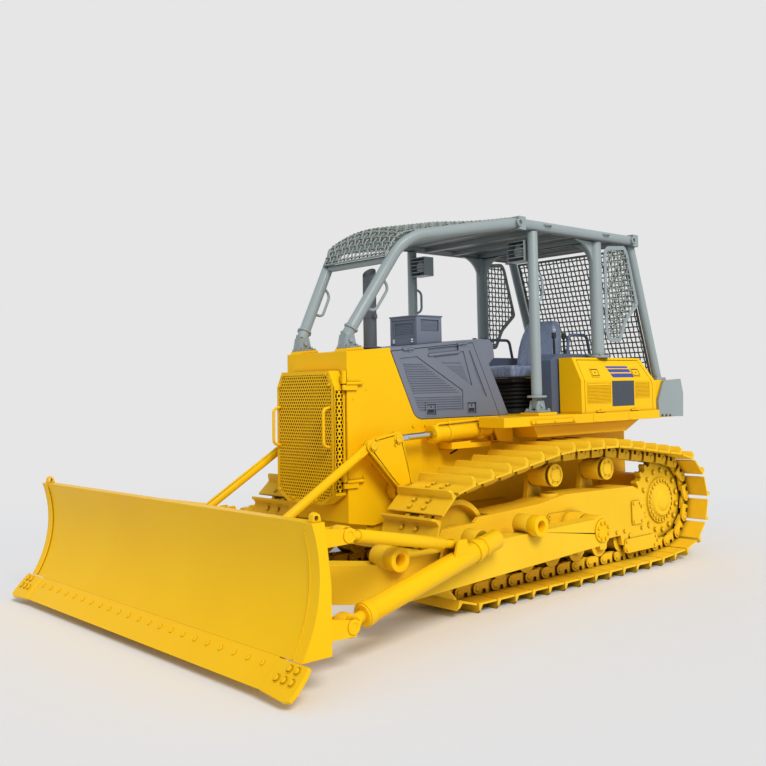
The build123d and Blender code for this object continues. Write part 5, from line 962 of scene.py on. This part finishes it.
# %% Grips and latches of the doors
GRIP_START, GRIP_RUN, GRIP_DROP, GRIP_R = 330, 370, 98, 14
LATCHES_X, LATCH_HALF, LATCH_FOOT, LATCH_TOP, SLOT_HALF = (305, -190), 55, 1466, 1562, 36
LOCK = [(0, 9), (3, 9), (4, 6)]
grip_xs = [GRIP_START - GRIP_RUN * share for share in (0, 0.5, 1)]
tube(ribs, [(x, DOOR_FACE_Y - 3, hood_line(x) - GRIP_DROP) for x in grip_xs], GRIP_R, 12)
latch_gap_shade_and_locks = Shape()
for latch_x in LATCHES_X:
    well = box(latch_x - LATCH_HALF, LATCH_FOOT, latch_x + LATCH_HALF, LATCH_TOP)
    ring(ribs, inset(well, -9), inset(well, 1), DOOR_FACE_Y - 12, DOOR_FACE_Y + 2, upright)
    plate(ribs, arced(inset(well, 14), 12, 3), DOOR_FACE_Y - 14, DOOR_FACE_Y - 5, upright)
    # A dark plate in each well's finger gap paints the shade there.
    finger_gap_shade = box(latch_x - SLOT_HALF, LATCH_FOOT + 18, latch_x + SLOT_HALF, LATCH_FOOT + 46)
    plate(latch_gap_shade_and_locks, finger_gap_shade, DOOR_FACE_Y - 7, DOOR_FACE_Y - 4, upright)
    turned(latch_gap_shade_and_locks, LOCK, (latch_x, DOOR_FACE_Y - 6, LATCH_FOOT + 69), (0, 1, 0), 14)
ribs.become_pair("door_ribs", slate_moulding, "engine_door")
latch_gap_shade_and_locks.become_pair("door_latch_gap_shade_and_locks", abs_and_gap_shade, "engine_door", 1)

# %% [markdown]
# ## Fender doors
# Each fender box has one pressed door. Two fields of louvres let the batteries breathe, two paddle latches
# hold it, and three plain blue bars above a plain dark square set off the yellow. They are film, under a
# millimetre thick, so each lies on the sheet as its own thin plate: a patch of colour in the paint would
# need a drawn mask.

# %% Film on the fender doors
BOX_FACE_Y, BOX_FOLD_Z, BOX_LEAN = 890, 1735, 100 / 213
SLOPE_OUT, SLOPE_UP = 0.905, 0.425
FILM, BAR_SLANT, BAR_FOOT, BAR_LEFT, BAR_RIGHT = 0.8, 0.5, 1762, -1984, -1632
BAR_LEVELS = ((1758, 1796), (1808, 1838), (1848, 1866))
DARK_SQUARE = [(-1955, 1486), (-1595, 1486), (-1600, 1726), (-1960, 1726)]
# Cut vinyl film: even colour with a satin shine.
blue_film = painted("blue_film", "#2F49A3", "#293F92", 0.4, 9, 0.1, 0.2)
slate_film = painted("slate_film", "#3B4652", "#343E49", 0.42, 9, 0.1, 0.2)


def on_slope(u, v, w):
    """Along, up and out of the door's leaning upper half; v is the height."""
    return (u, BOX_FACE_Y - BOX_LEAN * (v - BOX_FOLD_Z) + SLOPE_OUT * w, v + SLOPE_UP * w)


film = Shape()
for low_z, high_z in BAR_LEVELS:
    low_x, high_x = ((z - BAR_FOOT) * BAR_SLANT for z in (low_z, high_z))
    bar = [(BAR_LEFT + low_x, low_z), (BAR_RIGHT + low_x, low_z), (BAR_RIGHT + high_x, high_z),
           (BAR_LEFT + high_x, high_z)]
    plate(film, bar, 0, FILM, on_slope)
film.become_pair("blue_bars", blue_film, "fender_door")
square = Shape()
plate(square, DARK_SQUARE, BOX_FACE_Y, BOX_FACE_Y + FILM, upright)
square.become_pair("blank_square", slate_film, "fender_door")

# %% Louvres and latches of the fender doors
LOUVRE_FIELDS, LOUVRE_PITCH, LOUVRE_PROUD = ((-1579, 1520, -1215, 1715), (-2222, 1556, -1978, 1715)), 13, 6
WELLS_X, WELL_WIDE, WELL_FOOT, WELL_TOP, WELL_MIDDLE = (-1430, -2090), 108, 1770, 1838, 1804
WELL_GAPS, WELL_LOCK = ((1772, 1782), (1828, 1836)), [(0, 7), (3, 7), (4, 5)]
pressed = Shape()
for left, low_z, right, high_z in LOUVRE_FIELDS:
    field = box(left, low_z, right, high_z)
    ring(pressed, field, inset(field, 7), BOX_FACE_Y - 1, BOX_FACE_Y + 4, upright)
    height = low_z + 14
    while height < high_z - 12:
        section = [(BOX_FACE_Y - 0.5, height - 5), (BOX_FACE_Y + LOUVRE_PROUD, height - 4),
                   (BOX_FACE_Y + LOUVRE_PROUD, height - 2), (BOX_FACE_Y - 0.5, height + 6)]
        plate(pressed, section, left + 10, right - 10, facing)
        height += LOUVRE_PITCH
well_gap_shade_and_locks = Shape()
for left in WELLS_X:
    well = box(left, WELL_FOOT, left + WELL_WIDE, WELL_TOP)
    ring(pressed, inset(well, -8), well, -1, 6, on_slope)
    plate(pressed, arced(inset(well, 9), 8, 3), -0.5, 4, on_slope)
    # Dark plates in the two gaps of each well paint the shade there.
    for low_z, high_z in WELL_GAPS:
        plate(well_gap_shade_and_locks, box(left + 10, low_z, left + WELL_WIDE - 10, high_z), 0, 2, on_slope)
    turned(well_gap_shade_and_locks, WELL_LOCK, on_slope(left + WELL_WIDE / 2, WELL_MIDDLE, 4), (0, SLOPE_OUT, SLOPE_UP), 12)
pressed.become_pair("louvres", yellow_enamel, "fender_door")
well_gap_shade_and_locks.become_pair("latch_well_gap_shade_and_locks", abs_and_gap_shade, "fender_door")

# %% [markdown]
# ## Undercarriage fittings
# The final drive's ring of bolts, the sprocket segments' bolts and the carrier rollers' caps are what the
# eye looks for in a running gear. All are turned or hexagonal pieces on circles, so one loop places them:
# an Array modifier would do it too, but each ring would then be an object of its own.

# %% Bolts and caps of the running gear
HUB_FACE, HUB_R, SEGMENT_FACE, SEGMENT_R = 952, 190, 930, 288
CARRIER_FACE, CARRIER_BOLT_R = 1024, 68
CARRIER_CAP = [(0, 97), (7, 97), (11, 92), (11, 80), (3, 76), (3, 60), (12, 52), (15, 30), (15, 0.5)]
ROLLERS_X, ROLLER_BOLT_Z, ROLLER_BOLT_HALF = (150, -246, -641, -1036, -1431, -1825), 352, 60
FRAME_FACE, COVER_BEND, COVER_BOLT_INSET = 1045, 18, 24
SIDE_COVER = [(-872, 516), (-872, 585), (-700, 618), (-410, 618), (-382, 590), (-382, 516)]
REAR_COVER = [(-1780, 396), (-1780, 560), (-1740, 609), (-1608, 609), (-1608, 396)]
ROLLER_GUARD = [(-2029, 205), (-1990, 277), (-1484, 277), (-1470, 180), (-1500, 150), (-1960, 150)]


def bolt_circle(shape, centre, radius, count, across, start=0.0):
    """Bolts on a circle that faces outwards across the machine."""
    x, y, z = centre
    for step in range(count):
        turn = start + 2 * pi * step / count
        bolt(shape, (x + radius * cos(turn), y, z + radius * sin(turn)), (0, 1, 0), across)


fittings = Shape()
bolt_circle(fittings, (SPROCKET[0], HUB_FACE, SPROCKET[1]), HUB_R, 24, 24)
bolt_circle(fittings, (SPROCKET[0], SEGMENT_FACE, SPROCKET[1]), SEGMENT_R, 15, 36)
for carrier_x, carrier_z in CARRIERS:
    turned(fittings, CARRIER_CAP, (carrier_x, CARRIER_FACE, carrier_z), (0, 1, 0), 32)
    bolt_circle(fittings, (carrier_x, CARRIER_FACE + 3, carrier_z), CARRIER_BOLT_R, 6, 11)
for roller_x in ROLLERS_X:
    for bolt_x in (roller_x - ROLLER_BOLT_HALF, roller_x + ROLLER_BOLT_HALF):
        bolt(fittings, (bolt_x, FRAME_FACE + 1, ROLLER_BOLT_Z), (0, 1, 0), 26)
for cover, proud in ((SIDE_COVER, 12), (REAR_COVER, 14), (ROLLER_GUARD, 12)):
    plate(fittings, arced(cover[::-1], COVER_BEND, 3), FRAME_FACE - 5, FRAME_FACE + proud, upright)
    for corner_x, corner_z in inset(cover[::-1], COVER_BOLT_INSET):
        bolt(fittings, (corner_x, FRAME_FACE + proud, corner_z), (0, 1, 0), 20)
fittings.both_sides()
fittings.become("running_gear_fittings", cast_enamel, "chassis")

# %% [markdown]
# ## Blade and lift
# The cutting edge and its end bits are wear parts, so they are bolted on: plough bolts with low, flush
# heads. The arms' trunnions have bolted caps, the wear strips a weld bead, and the cranks' pins a keeper
# bolt. Heads and caps are turned from a profile, which gives their chamfers a clean highlight that a bump
# on the paint wouldn't have.

# %% Blade bolts, weld beads and pin caps
EDGE_FOOT, EDGE_DOWN, EDGE_OUT = Vector((2745, 0, 214)), Vector((0.676, 0, -0.737)), Vector((0.737, 0, 0.676))
PLOUGH_HEAD = [(-2, 18), (5, 18), (8, 14), (8, 7), (6, 6), (6, 0.5)]
PLOUGH_COUNT, PLOUGH_PITCH, PLOUGH_DOWN = 22, 150, 62
BIT_HEAD = [(-2, 27), (4, 27), (4, 23), (-1, 22), (-1, 19), (9, 18), (11, 14), (11, 0.5)]
BIT_BOLTS, BIT_SHEET = ((1835, 48), (1905, 48), (1775, 116), (1845, 116), (1915, 116)), 8
ARC_X, ARC_Z, ARC_R, STRIP_INNER_Y, STRIP_PROUD, BEAD_R = 3460.5, 660.8, 843.6, 1904 - 90, 8, 4.5
ARM_PIN, ARM_FACE, ARM_BOLT_R = (-690, 480), 1385, 70
TRUNNION_CAP = [(0, 96), (10, 96), (16, 88), (16, 52), (11, 46), (11, 0.5)]
LUG_Y, PIN_REACH, STRUT_PIN, BRACE_PIN = 1600, 52 + 24.5, (2205, 274), (2230, 818)
PIN_CAP = [(0, 46), (6, 46), (9, 42), (9, 26), (5, 23), (5, 0.5)]

blade_bolts = Shape()
for across, down in BIT_BOLTS:
    at = EDGE_FOOT + EDGE_DOWN * down + EDGE_OUT * BIT_SHEET + Vector((0, across, 0))
    turned(blade_bolts, BIT_HEAD, at, EDGE_OUT, 20)
face_arc = [(ARC_X - sqrt(ARC_R ** 2 - (z - ARC_Z) ** 2), z) for z in range(222, 958, 46)]
tube(blade_bolts, [(x + STRIP_PROUD, STRIP_INNER_Y, z) for x, z in face_arc], BEAD_R, 8)
turned(blade_bolts, TRUNNION_CAP, (ARM_PIN[0], ARM_FACE, ARM_PIN[1]), (0, 1, 0), 36)
bolt_circle(blade_bolts, (ARM_PIN[0], ARM_FACE + 16, ARM_PIN[1]), ARM_BOLT_R, 8, 22, pi / 8)
for pin_x, pin_z in (STRUT_PIN, BRACE_PIN):
    for way in (1, -1):
        turned(blade_bolts, PIN_CAP, (pin_x, LUG_Y + way * PIN_REACH, pin_z), (0, way, 0), 28)
print("faces of one side's bolts and caps:", len(blade_bolts.faces))

# %% Bands on the push struts, and the row of plough bolts
STRUT_R, BAND_EDGE = 72, 3
strut_front, strut_rear = Vector((STRUT_PIN[0], LUG_Y, STRUT_PIN[1])), Vector((760, 1466, 574))
strut_way = (strut_rear - strut_front).normalized()
strut_length = (strut_rear - strut_front).length
for at, wide, proud in ((150, 60, 8), (strut_length - 210, 46, 9), (strut_length - 120, 26, 6)):
    crest = STRUT_R + proud
    band = [(0, STRUT_R - 2), (BAND_EDGE, crest), (wide - BAND_EDGE, crest), (wide, STRUT_R - 2)]
    turned(blade_bolts, band, strut_front + strut_way * at, strut_way, 32)
blade_bolts.both_sides()
plough_line = EDGE_FOOT + EDGE_DOWN * PLOUGH_DOWN
for step in range(PLOUGH_COUNT):
    across = PLOUGH_PITCH * (step - (PLOUGH_COUNT - 1) / 2)
    turned(blade_bolts, PLOUGH_HEAD, plough_line + Vector((0, across, 0)), EDGE_OUT, 14)
blade_bolts.become("blade_fittings", yellow_enamel, "blade_frame")

# %% Crank pins
CRANK_FACE, KEEPER_REACH = 590, 58
CRANK_PINS = ((1106, 1256, 2.2), (847, 1299, -1.0))
PIN_HEAD = [(-4, 32), (5, 32), (8, 28), (8, 12), (6, 10), (6, 0.5)]
pins = Shape()
for pin_x, pin_z, keeper_turn in CRANK_PINS:
    turned(pins, PIN_HEAD, (pin_x, CRANK_FACE, pin_z), (0, 1, 0), 24)
    along = Vector((cos(keeper_turn), 0, sin(keeper_turn)))
    bolt(pins, Vector((pin_x, CRANK_FACE - 10, pin_z)) + along * KEEPER_REACH, (0, 1, 0), 18)
pins.become_pair("crank_pins", cast_enamel, "crank")

# %% [markdown]
# The lift cylinder's gland is a bolted ring, and a steel pipe on two clamps brings oil to the rod's end.
# The pipe is rigid, so it is a bent tube of fixed shape that rides on the barrel.

# %% Cylinder glands and pipes
BARREL_EYE, BARREL_WAY, BARREL_R = Vector((-336, 540, 1342)), Vector((0.99934, 0, -0.036324)), 68
PIPE_SIDE, PIPE_UP, PIPE_OUT, PIPE_R, PIPE_BEND = 0.35, 0.937, 88, 10, 20
CLAMP_WIDE, CLAMP_PROUD, SADDLE_R, GLAND_BOLTS = 26, 5, 15, 8
barrel_length = (node_span("barrel_left")[1][0] - BARREL_EYE.x) / BARREL_WAY.x
outwards = Vector((0, PIPE_SIDE, 0)) + Vector((0.036, 0, 0.999)) * PIPE_UP


def along_barrel(at, off=0):
    """A place this far along the barrel and this far out towards the pipe."""
    return BARREL_EYE + BARREL_WAY * at + outwards * off


lines = Shape()
gland = [(-58, BARREL_R + 1), (-56, BARREL_R + 7), (-6, BARREL_R + 7), (-2, BARREL_R + 2), (-2, 40)]
turned(lines, gland, along_barrel(barrel_length), BARREL_WAY, 32)
for step in range(GLAND_BOLTS):
    turn = 2 * pi * step / GLAND_BOLTS
    around = Vector((0, cos(turn), sin(turn))) * (BARREL_R - 10)
    bolt(lines, along_barrel(barrel_length - 2) + around, BARREL_WAY, 12)
pipe = [along_barrel(130, 66), along_barrel(150, PIPE_OUT), along_barrel(barrel_length - 70, PIPE_OUT),
        along_barrel(barrel_length - 40, 66)]
tube(lines, rounded(pipe, PIPE_BEND), PIPE_R, 12)
for at in (240, barrel_length - 200):
    crest = BARREL_R + CLAMP_PROUD
    band = [(0, BARREL_R), (0, crest), (CLAMP_WIDE, crest), (CLAMP_WIDE, BARREL_R)]
    turned(lines, band, along_barrel(at), BARREL_WAY, 32)
    tube(lines, [along_barrel(at - 2, PIPE_OUT), along_barrel(at + CLAMP_WIDE + 2, PIPE_OUT)], SADDLE_R, 12)
lines.become_pair("cylinder_fittings", yellow_enamel, "barrel")

# %% [markdown]
# ## Hood and canopy fittings
# The pre-cleaner box on the hood has a mesh panel in front and on each side, held by two bright catches.
# The mesh is punched sheet like the mask's, only finer, so the same function makes it.

# %% Pre-cleaner panels
INTAKE_FRONT, INTAKE_REAR, INTAKE_HALF, INTAKE_TOP = 248, -57, 176, 2335
WINDOW_SIDE, WINDOW_HEAD, CATCH_Y = 32, 42, 120
# Dull baked coat on thin mesh, painted lighter than the box: a painted highlight for the light that every
# wire edge catches.
mesh_coat = painted("dark_coat_on_mesh", "#747E90", "#687284", 0.5, 5, 0.3, 0.0)
intake_foot, window_top = hood_line(INTAKE_FRONT), INTAKE_TOP - WINDOW_HEAD
front_window = box(-INTAKE_HALF + WINDOW_SIDE, intake_foot + 62, INTAKE_HALF - WINDOW_SIDE, window_top)
side_window = box(INTAKE_REAR + 40, INTAKE_TOP - 138, INTAKE_FRONT - 52, window_top)
panels = Shape()
perforated(panels, side_window, 12, 7, INTAKE_HALF - 12, INTAKE_HALF - 9, upright)
panels.both_sides()
perforated(panels, inset(front_window, 14), 15, 9, INTAKE_FRONT - 13, INTAKE_FRONT - 10, facing)
ring(panels, front_window, inset(front_window, 24), INTAKE_FRONT - 14, INTAKE_FRONT - 5, facing)
panels.become("cleaner_panels", mesh_coat, "chassis")

catches = Shape()
tongue = [(CATCH_Y - 16, intake_foot + 22), (CATCH_Y + 16, intake_foot + 22),
          (CATCH_Y + 12, intake_foot + 56), (CATCH_Y - 12, intake_foot + 56)]
plate(catches, tongue, INTAKE_FRONT - 1, INTAKE_FRONT + 7, facing)
turned(catches, [(0, 8), (5, 8), (7, 5)], (INTAKE_FRONT + 6, CATCH_Y, intake_foot + 40), (1, 0, 0), 14)
catches.both_sides()
catches.become("cleaner_catches", chrome, "chassis", 1)

# %% [markdown]
# The lamps have a fluted glass behind their slats. A turned lens carries the flutes as a wave in its
# finish, because they are too small here to be cut into the mesh.

# %% Lamp glasses
# Pressed glass: clear and sharp, with flutes 25 mm apart that break up the reflections. A plain wave is
# 0.314 m long at scale 1, so a scale of one in 80 mm gives them.
glass, tree, shader, where = finish("clear_lamp_glass", Roughness=0.06, Transmission_Weight=0.4,
                                    Base_Color=linear("#DCE4E8"))
FLUTE_SCALE_MM, FLUTE_DEEP_MM = 80, 3
prisms = add(tree, "ShaderNodeTexWave",
             {"Vector": where, "Scale": per_metre(FLUTE_SCALE_MM), "Distortion": 0.0}, bands_direction="Y")
flutes = add(tree, "ShaderNodeBump",
             {"Height": prisms.outputs["Fac"], "Strength": 0.5, "Distance": FLUTE_DEEP_MM * MM})
tree.links.new(flutes.outputs["Normal"], shader.inputs["Normal"])
LENS = [(0, 56), (4, 56), (10, 46), (15, 26), (17, 0.5)]
lamp_low, lamp_high = node_span("work_lamps")
lenses = Shape()
lamp_z = (lamp_low[2] + lamp_high[2]) / 2
turned(lenses, LENS, (lamp_high[0] - 46, lamp_high[1] - 100, lamp_z), (1, 0, 0), 28)
lenses.both_sides()
lenses.become("lamp_glasses", glass, "chassis")

# %% [markdown]
# The stack has a clamp with one bolt and a flange at its foot, and the canopy's tubes stand on bolted feet.
# Eyes at the canopy's corners and lugs on its rails are for lifting it off. All of them are turned or bent
# from the forms above.

# %% Stack, and feet of the tubes
STACK_X, STACK_R, CLAMP_FOOT, FLANGE_FOOT = 632, 57.5, 2300, 2046
stack = Shape()
clamp = [(0, STACK_R), (0, STACK_R + 7), (34, STACK_R + 7), (34, STACK_R)]
turned(stack, clamp, (STACK_X, 0, CLAMP_FOOT), (0, 0, 1), 36)
bolt(stack, (STACK_X + 20, STACK_R + 14, CLAMP_FOOT + 17), (1, 0, 0), 14)
plate(stack, box(STACK_X - 8, STACK_R, STACK_X + 20, STACK_R + 28), CLAMP_FOOT + 2, CLAMP_FOOT + 32, level)
flange = [(0, STACK_R + 38), (6, STACK_R + 38), (10, STACK_R + 30), (10, STACK_R)]
turned(stack, flange, (STACK_X, 0, FLANGE_FOOT), (0, 0, 1), 36)
stack.become("stack_fittings", heat_coat, "chassis")

FRONT_POST, REAR_POST = (-607, 795, 1478), (-1590, 750, 1974)
CORNER_EYE, CORNERS_X = [(-6, 34), (10, 34), (14, 30), (14, 20), (-2, 18), (-2, 0.5)], (-372, -2088)
LUGS_X, LUG_R, LUG_BEND = (-760, -1640), 8, 16
PAD_X, PAD_Z, PAD_FALL, PAD_THICK = 1213, 1996, 33 / 458, 38
feet = Shape()
for post, reaches, half, across in ((FRONT_POST, (-82, 66), 58, 26), (REAR_POST, (-64.8, 64.8), 64.8, 24)):
    for dx in reaches:
        for dy in (-half, half):
            bolt(feet, (post[0] + dx, post[1] + dy, post[2]), (0, 0, 1), across)
for corner_x in CORNERS_X:
    turned(feet, CORNER_EYE, (corner_x, 853, 3120), (0, 1, 0), 28)
for lug_x in LUGS_X:
    lug = [(lug_x - 50, 840, 3132), (lug_x - 38, 870, 3136), (lug_x + 38, 870, 3136), (lug_x + 50, 840, 3132)]
    tube(feet, rounded(lug, LUG_BEND), LUG_R, 10)
for foot_x in (1075, 1165):
    foot_z = PAD_Z + (PAD_X - foot_x) * PAD_FALL + PAD_THICK
    for foot_y in (SWEEP_FOOT_Y - 58, SWEEP_FOOT_Y + 58):
        bolt(feet, (foot_x, foot_y, foot_z), (0.07, 0, 1), 22)
feet.both_sides()
feet.become("tube_feet_bolts", canopy_enamel, "chassis")

# %% [markdown]
# The rear plates are flame cut, with three scallops in the lower edge that let water run off. A boolean cut
# would do, but three half circles in the outline give the same edge with clean faces.

# %% Rear plates
WING_SHEET, WING_EDGE_MM, SCALLOP_R, SCALLOPS_X = 30, 3, 22, (-2640, -2570, -2500)
WING_FRONT_X, WING_FRONT_Z, WING_RISE = -2445, 1364, 16 / 441
wing = [(WING_FRONT_X, WING_FRONT_Z), (-2440, 1520), (-2554, 1721), (-2864, 1737), (-2904, 1584),
        (-2886, 1348)]
for scallop_x in SCALLOPS_X:
    edge_z = WING_FRONT_Z + (scallop_x - WING_FRONT_X) * WING_RISE
    for step in range(9):
        turn = pi * (1 - step / 8)
        wing.append((scallop_x + SCALLOP_R * cos(turn), edge_z + SCALLOP_R * sin(turn)))
wing_y = node_span("rear_plates")[1][1]
wings = Shape()
plate(wings, wing, wing_y - WING_SHEET, wing_y, upright)
wings.both_sides()
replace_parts(wings.become("rear_wings", canopy_enamel, "chassis", WING_EDGE_MM), "rear_plates")

# %% [markdown]
# The hull's side sheets are held by bolts, stiffened by cover strips and slotted for hooks and drains. The
# slots are dark plates that stand half a millimetre proud and paint the shade inside each slot: cutting the
# sheet would show nothing more at this distance.

# %% Trim of the hull
HULL_Y, CHEEK = 400, [(756, 2001), (605, 1682), (756, 1829)]
DECK_EDGE_Y, DECK_BOLTS_X, DECK_BOLT_Z = 944, (-930, -670, -410), 1383
STRIPS_X, STRIP_HALF, STRIP_FOOT, STRIP_TOP, STRIP_Y = (-1280, -1840), 30, 1356, 1424, 919
GUARD_BUTTONS, BUTTON = ((1150, 1620), (1020, 1690)), [(0, 9), (3, 9), (4, 5)]
HULL_BOLTS = ((1160, 1180), (1060, 1010), (960, 1100), (520, 1380), (380, 1380), (-140, 1380))
HINGE_RODS_Z, ROD_Y, ROD_FRONT, ROD_REAR, ROD_R = (980, 1742), 416, 1236, 1080, 13
trims = Shape()
plate(trims, CHEEK, HULL_Y - 28, HULL_Y - 0.4, upright)
for bolt_x in DECK_BOLTS_X:
    bolt(trims, (bolt_x, DECK_EDGE_Y, DECK_BOLT_Z), (0, 1, 0), 18)
for strip_x in STRIPS_X:
    strip = box(strip_x - STRIP_HALF, STRIP_FOOT, strip_x + STRIP_HALF, STRIP_TOP)
    plate(trims, strip, STRIP_Y, STRIP_Y + 4, upright)
for button_x, button_z in GUARD_BUTTONS:
    turned(trims, BUTTON, (button_x, HULL_Y, button_z), (0, 1, 0), 12)
for bolt_x, bolt_z in HULL_BOLTS:
    bolt(trims, (bolt_x, HULL_Y, bolt_z), (0, 1, 0), 20)
for rod_z in HINGE_RODS_Z:
    tube(trims, [(ROD_FRONT, ROD_Y, rod_z), (ROD_REAR, ROD_Y, rod_z)], ROD_R, 14)
    bolt(trims, (ROD_REAR, ROD_Y, rod_z), (-1, 0, 0), 20)
trims.both_sides()
trims.become("hull_trim", yellow_enamel, "chassis")

# %% Painted shade of the slots in the side sheets
HULL_SLOTS = (((9, 1159), (89, 1130), 9), ((640, 1042), (679, 1013), 11), ((638, 1216), (638, 1226), 14))


def slot_outline(start, end, half):
    """A slot with round ends: two points and half its width."""
    tilt = atan2(end[1] - start[1], end[0] - start[0])
    turns = [tilt - pi / 2 + pi * step / 7 for step in range(8)]
    return [(x + half * cos(turn + flip), z + half * sin(turn + flip))
            for (x, z), flip in ((end, 0), (start, pi)) for turn in turns]


slot_shade = Shape()
for start, end, half in HULL_SLOTS:
    plate(slot_shade, slot_outline(start, end, half), HULL_Y - 4, HULL_Y + 0.6, upright)
slot_shade.both_sides()
slot_shade.become("hull_slot_shade", abs_and_gap_shade, "chassis")

# %% [markdown]
# ## Floor, light and camera
# The machine stands on a plain pale floor that fades into the background colour. A broad sun from over the
# camera's right shoulder models the forms, and an even sky fills the shadows. The camera has the photo's
# viewpoint, so it is set by its place, its three turns and its lens.

# %% Floor
BACKGROUND = linear("#E6E6E6")
FLOOR_HALF, FADE_START, FADE_END = 60, 5.0, 11.0

floor_mesh = bpy.data.meshes.new("studio_floor")
floor_corners = [(x, y, 0) for x, y in box(-FLOOR_HALF, -FLOOR_HALF, FLOOR_HALF, FLOOR_HALF)]
floor_mesh.from_pydata(floor_corners, [], [(0, 1, 2, 3)])
floor = bpy.data.objects.new("studio_floor", floor_mesh)
bpy.context.collection.objects.link(floor)

# Matte paper: no shine, so only the soft shadow shows on it.
paper, tree, shader, where = finish("matte_backdrop_paper", Roughness=0.9, Specular_IOR_Level=0.0,
                                    Base_Color=linear("#EAEDF2"))
glow = add(tree, "ShaderNodeEmission", {"Color": BACKGROUND})
reach = add(tree, "ShaderNodeVectorMath", {0: where}, operation="LENGTH")
fade = add(tree, "ShaderNodeMapRange",
           {"Value": reach.outputs["Value"], "From Min": FADE_START, "From Max": FADE_END},
           interpolation_type="SMOOTHSTEP")
blend = add(tree, "ShaderNodeMixShader", {0: fade.outputs["Result"], 1: shader.outputs["BSDF"],
                                          2: glow.outputs["Emission"]})
tree.links.new(blend.outputs["Shader"], tree.nodes["Material Output"].inputs["Surface"])
floor_mesh.materials.append(paper)
print("floor fades out from", FADE_START, "to", FADE_END, "m")

# %% Sky
SKY_LEVEL = 0.5
world = bpy.data.worlds.new("studio")
bpy.context.scene.world = world
world.use_nodes = True
tree = world.node_tree
tree.nodes.clear()
path = add(tree, "ShaderNodeLightPath")
seen = add(tree, "ShaderNodeMath", {0: path.outputs["Is Camera Ray"], 1: path.outputs["Is Glossy Ray"]},
           operation="MAXIMUM")
seen = add(tree, "ShaderNodeMath", {0: seen.outputs["Value"], 1: path.outputs["Is Transmission Ray"]},
           operation="MAXIMUM")
sky = add(tree, "ShaderNodeBackground", {"Color": linear("#F4F8FF"), "Strength": SKY_LEVEL})
backdrop = add(tree, "ShaderNodeBackground", {"Color": BACKGROUND, "Strength": 1.0})
either = add(tree, "ShaderNodeMixShader", {0: seen.outputs["Value"], 1: sky.outputs["Background"],
                                           2: backdrop.outputs["Background"]})
add(tree, "ShaderNodeOutputWorld", {"Surface": either.outputs["Shader"]})
print("sky level:", SKY_LEVEL)

# %% Key light
KEY_FROM, KEY_AIM, KEY_POWER, KEY_SOFTNESS = Vector((2.3, 6.8, 7.2)), Vector((0, 0, 1.0)), 2.3, 24
key_data = bpy.data.lights.new("key", "SUN")
key_data.energy = KEY_POWER
key_data.angle = radians(KEY_SOFTNESS)
key_data.color = linear("#FFF6E8")[:3]
key = bpy.data.objects.new("key", key_data)
key.rotation_mode = "QUATERNION"
key.rotation_quaternion = (KEY_AIM - KEY_FROM).to_track_quat("-Z", "Y")
bpy.context.collection.objects.link(key)
print("key light from", tuple(KEY_FROM))

# %% Camera
CAMERA_AT = Vector((5.861, 6.217, 1.700))
YAW, PITCH, ROLL = -2.3247, 0.0806, -0.02
LENS_MM, SHIFT_X, SHIFT_Y = 44.46, -0.050, -0.094

ahead = Vector((cos(YAW) * cos(PITCH), sin(YAW) * cos(PITCH), sin(PITCH)))
right = ahead.cross(Vector((0, 0, 1))).normalized()
above = right.cross(ahead)
tilted_right = right * cos(ROLL) + above * sin(ROLL)
tilted_above = above * cos(ROLL) - right * sin(ROLL)
camera_data = bpy.data.cameras.new("camera")
camera_data.lens, camera_data.sensor_width = LENS_MM, 36
camera_data.shift_x, camera_data.shift_y = SHIFT_X, SHIFT_Y
camera = bpy.data.objects.new("camera", camera_data)
turn = Matrix((tilted_right, tilted_above, -ahead)).transposed()
camera.matrix_world = Matrix.Translation(CAMERA_AT) @ turn.to_4x4()
bpy.context.collection.objects.link(camera)
bpy.context.scene.camera = camera
bpy.context.scene.view_settings.view_transform = "Standard"
print("camera at", tuple(CAMERA_AT))
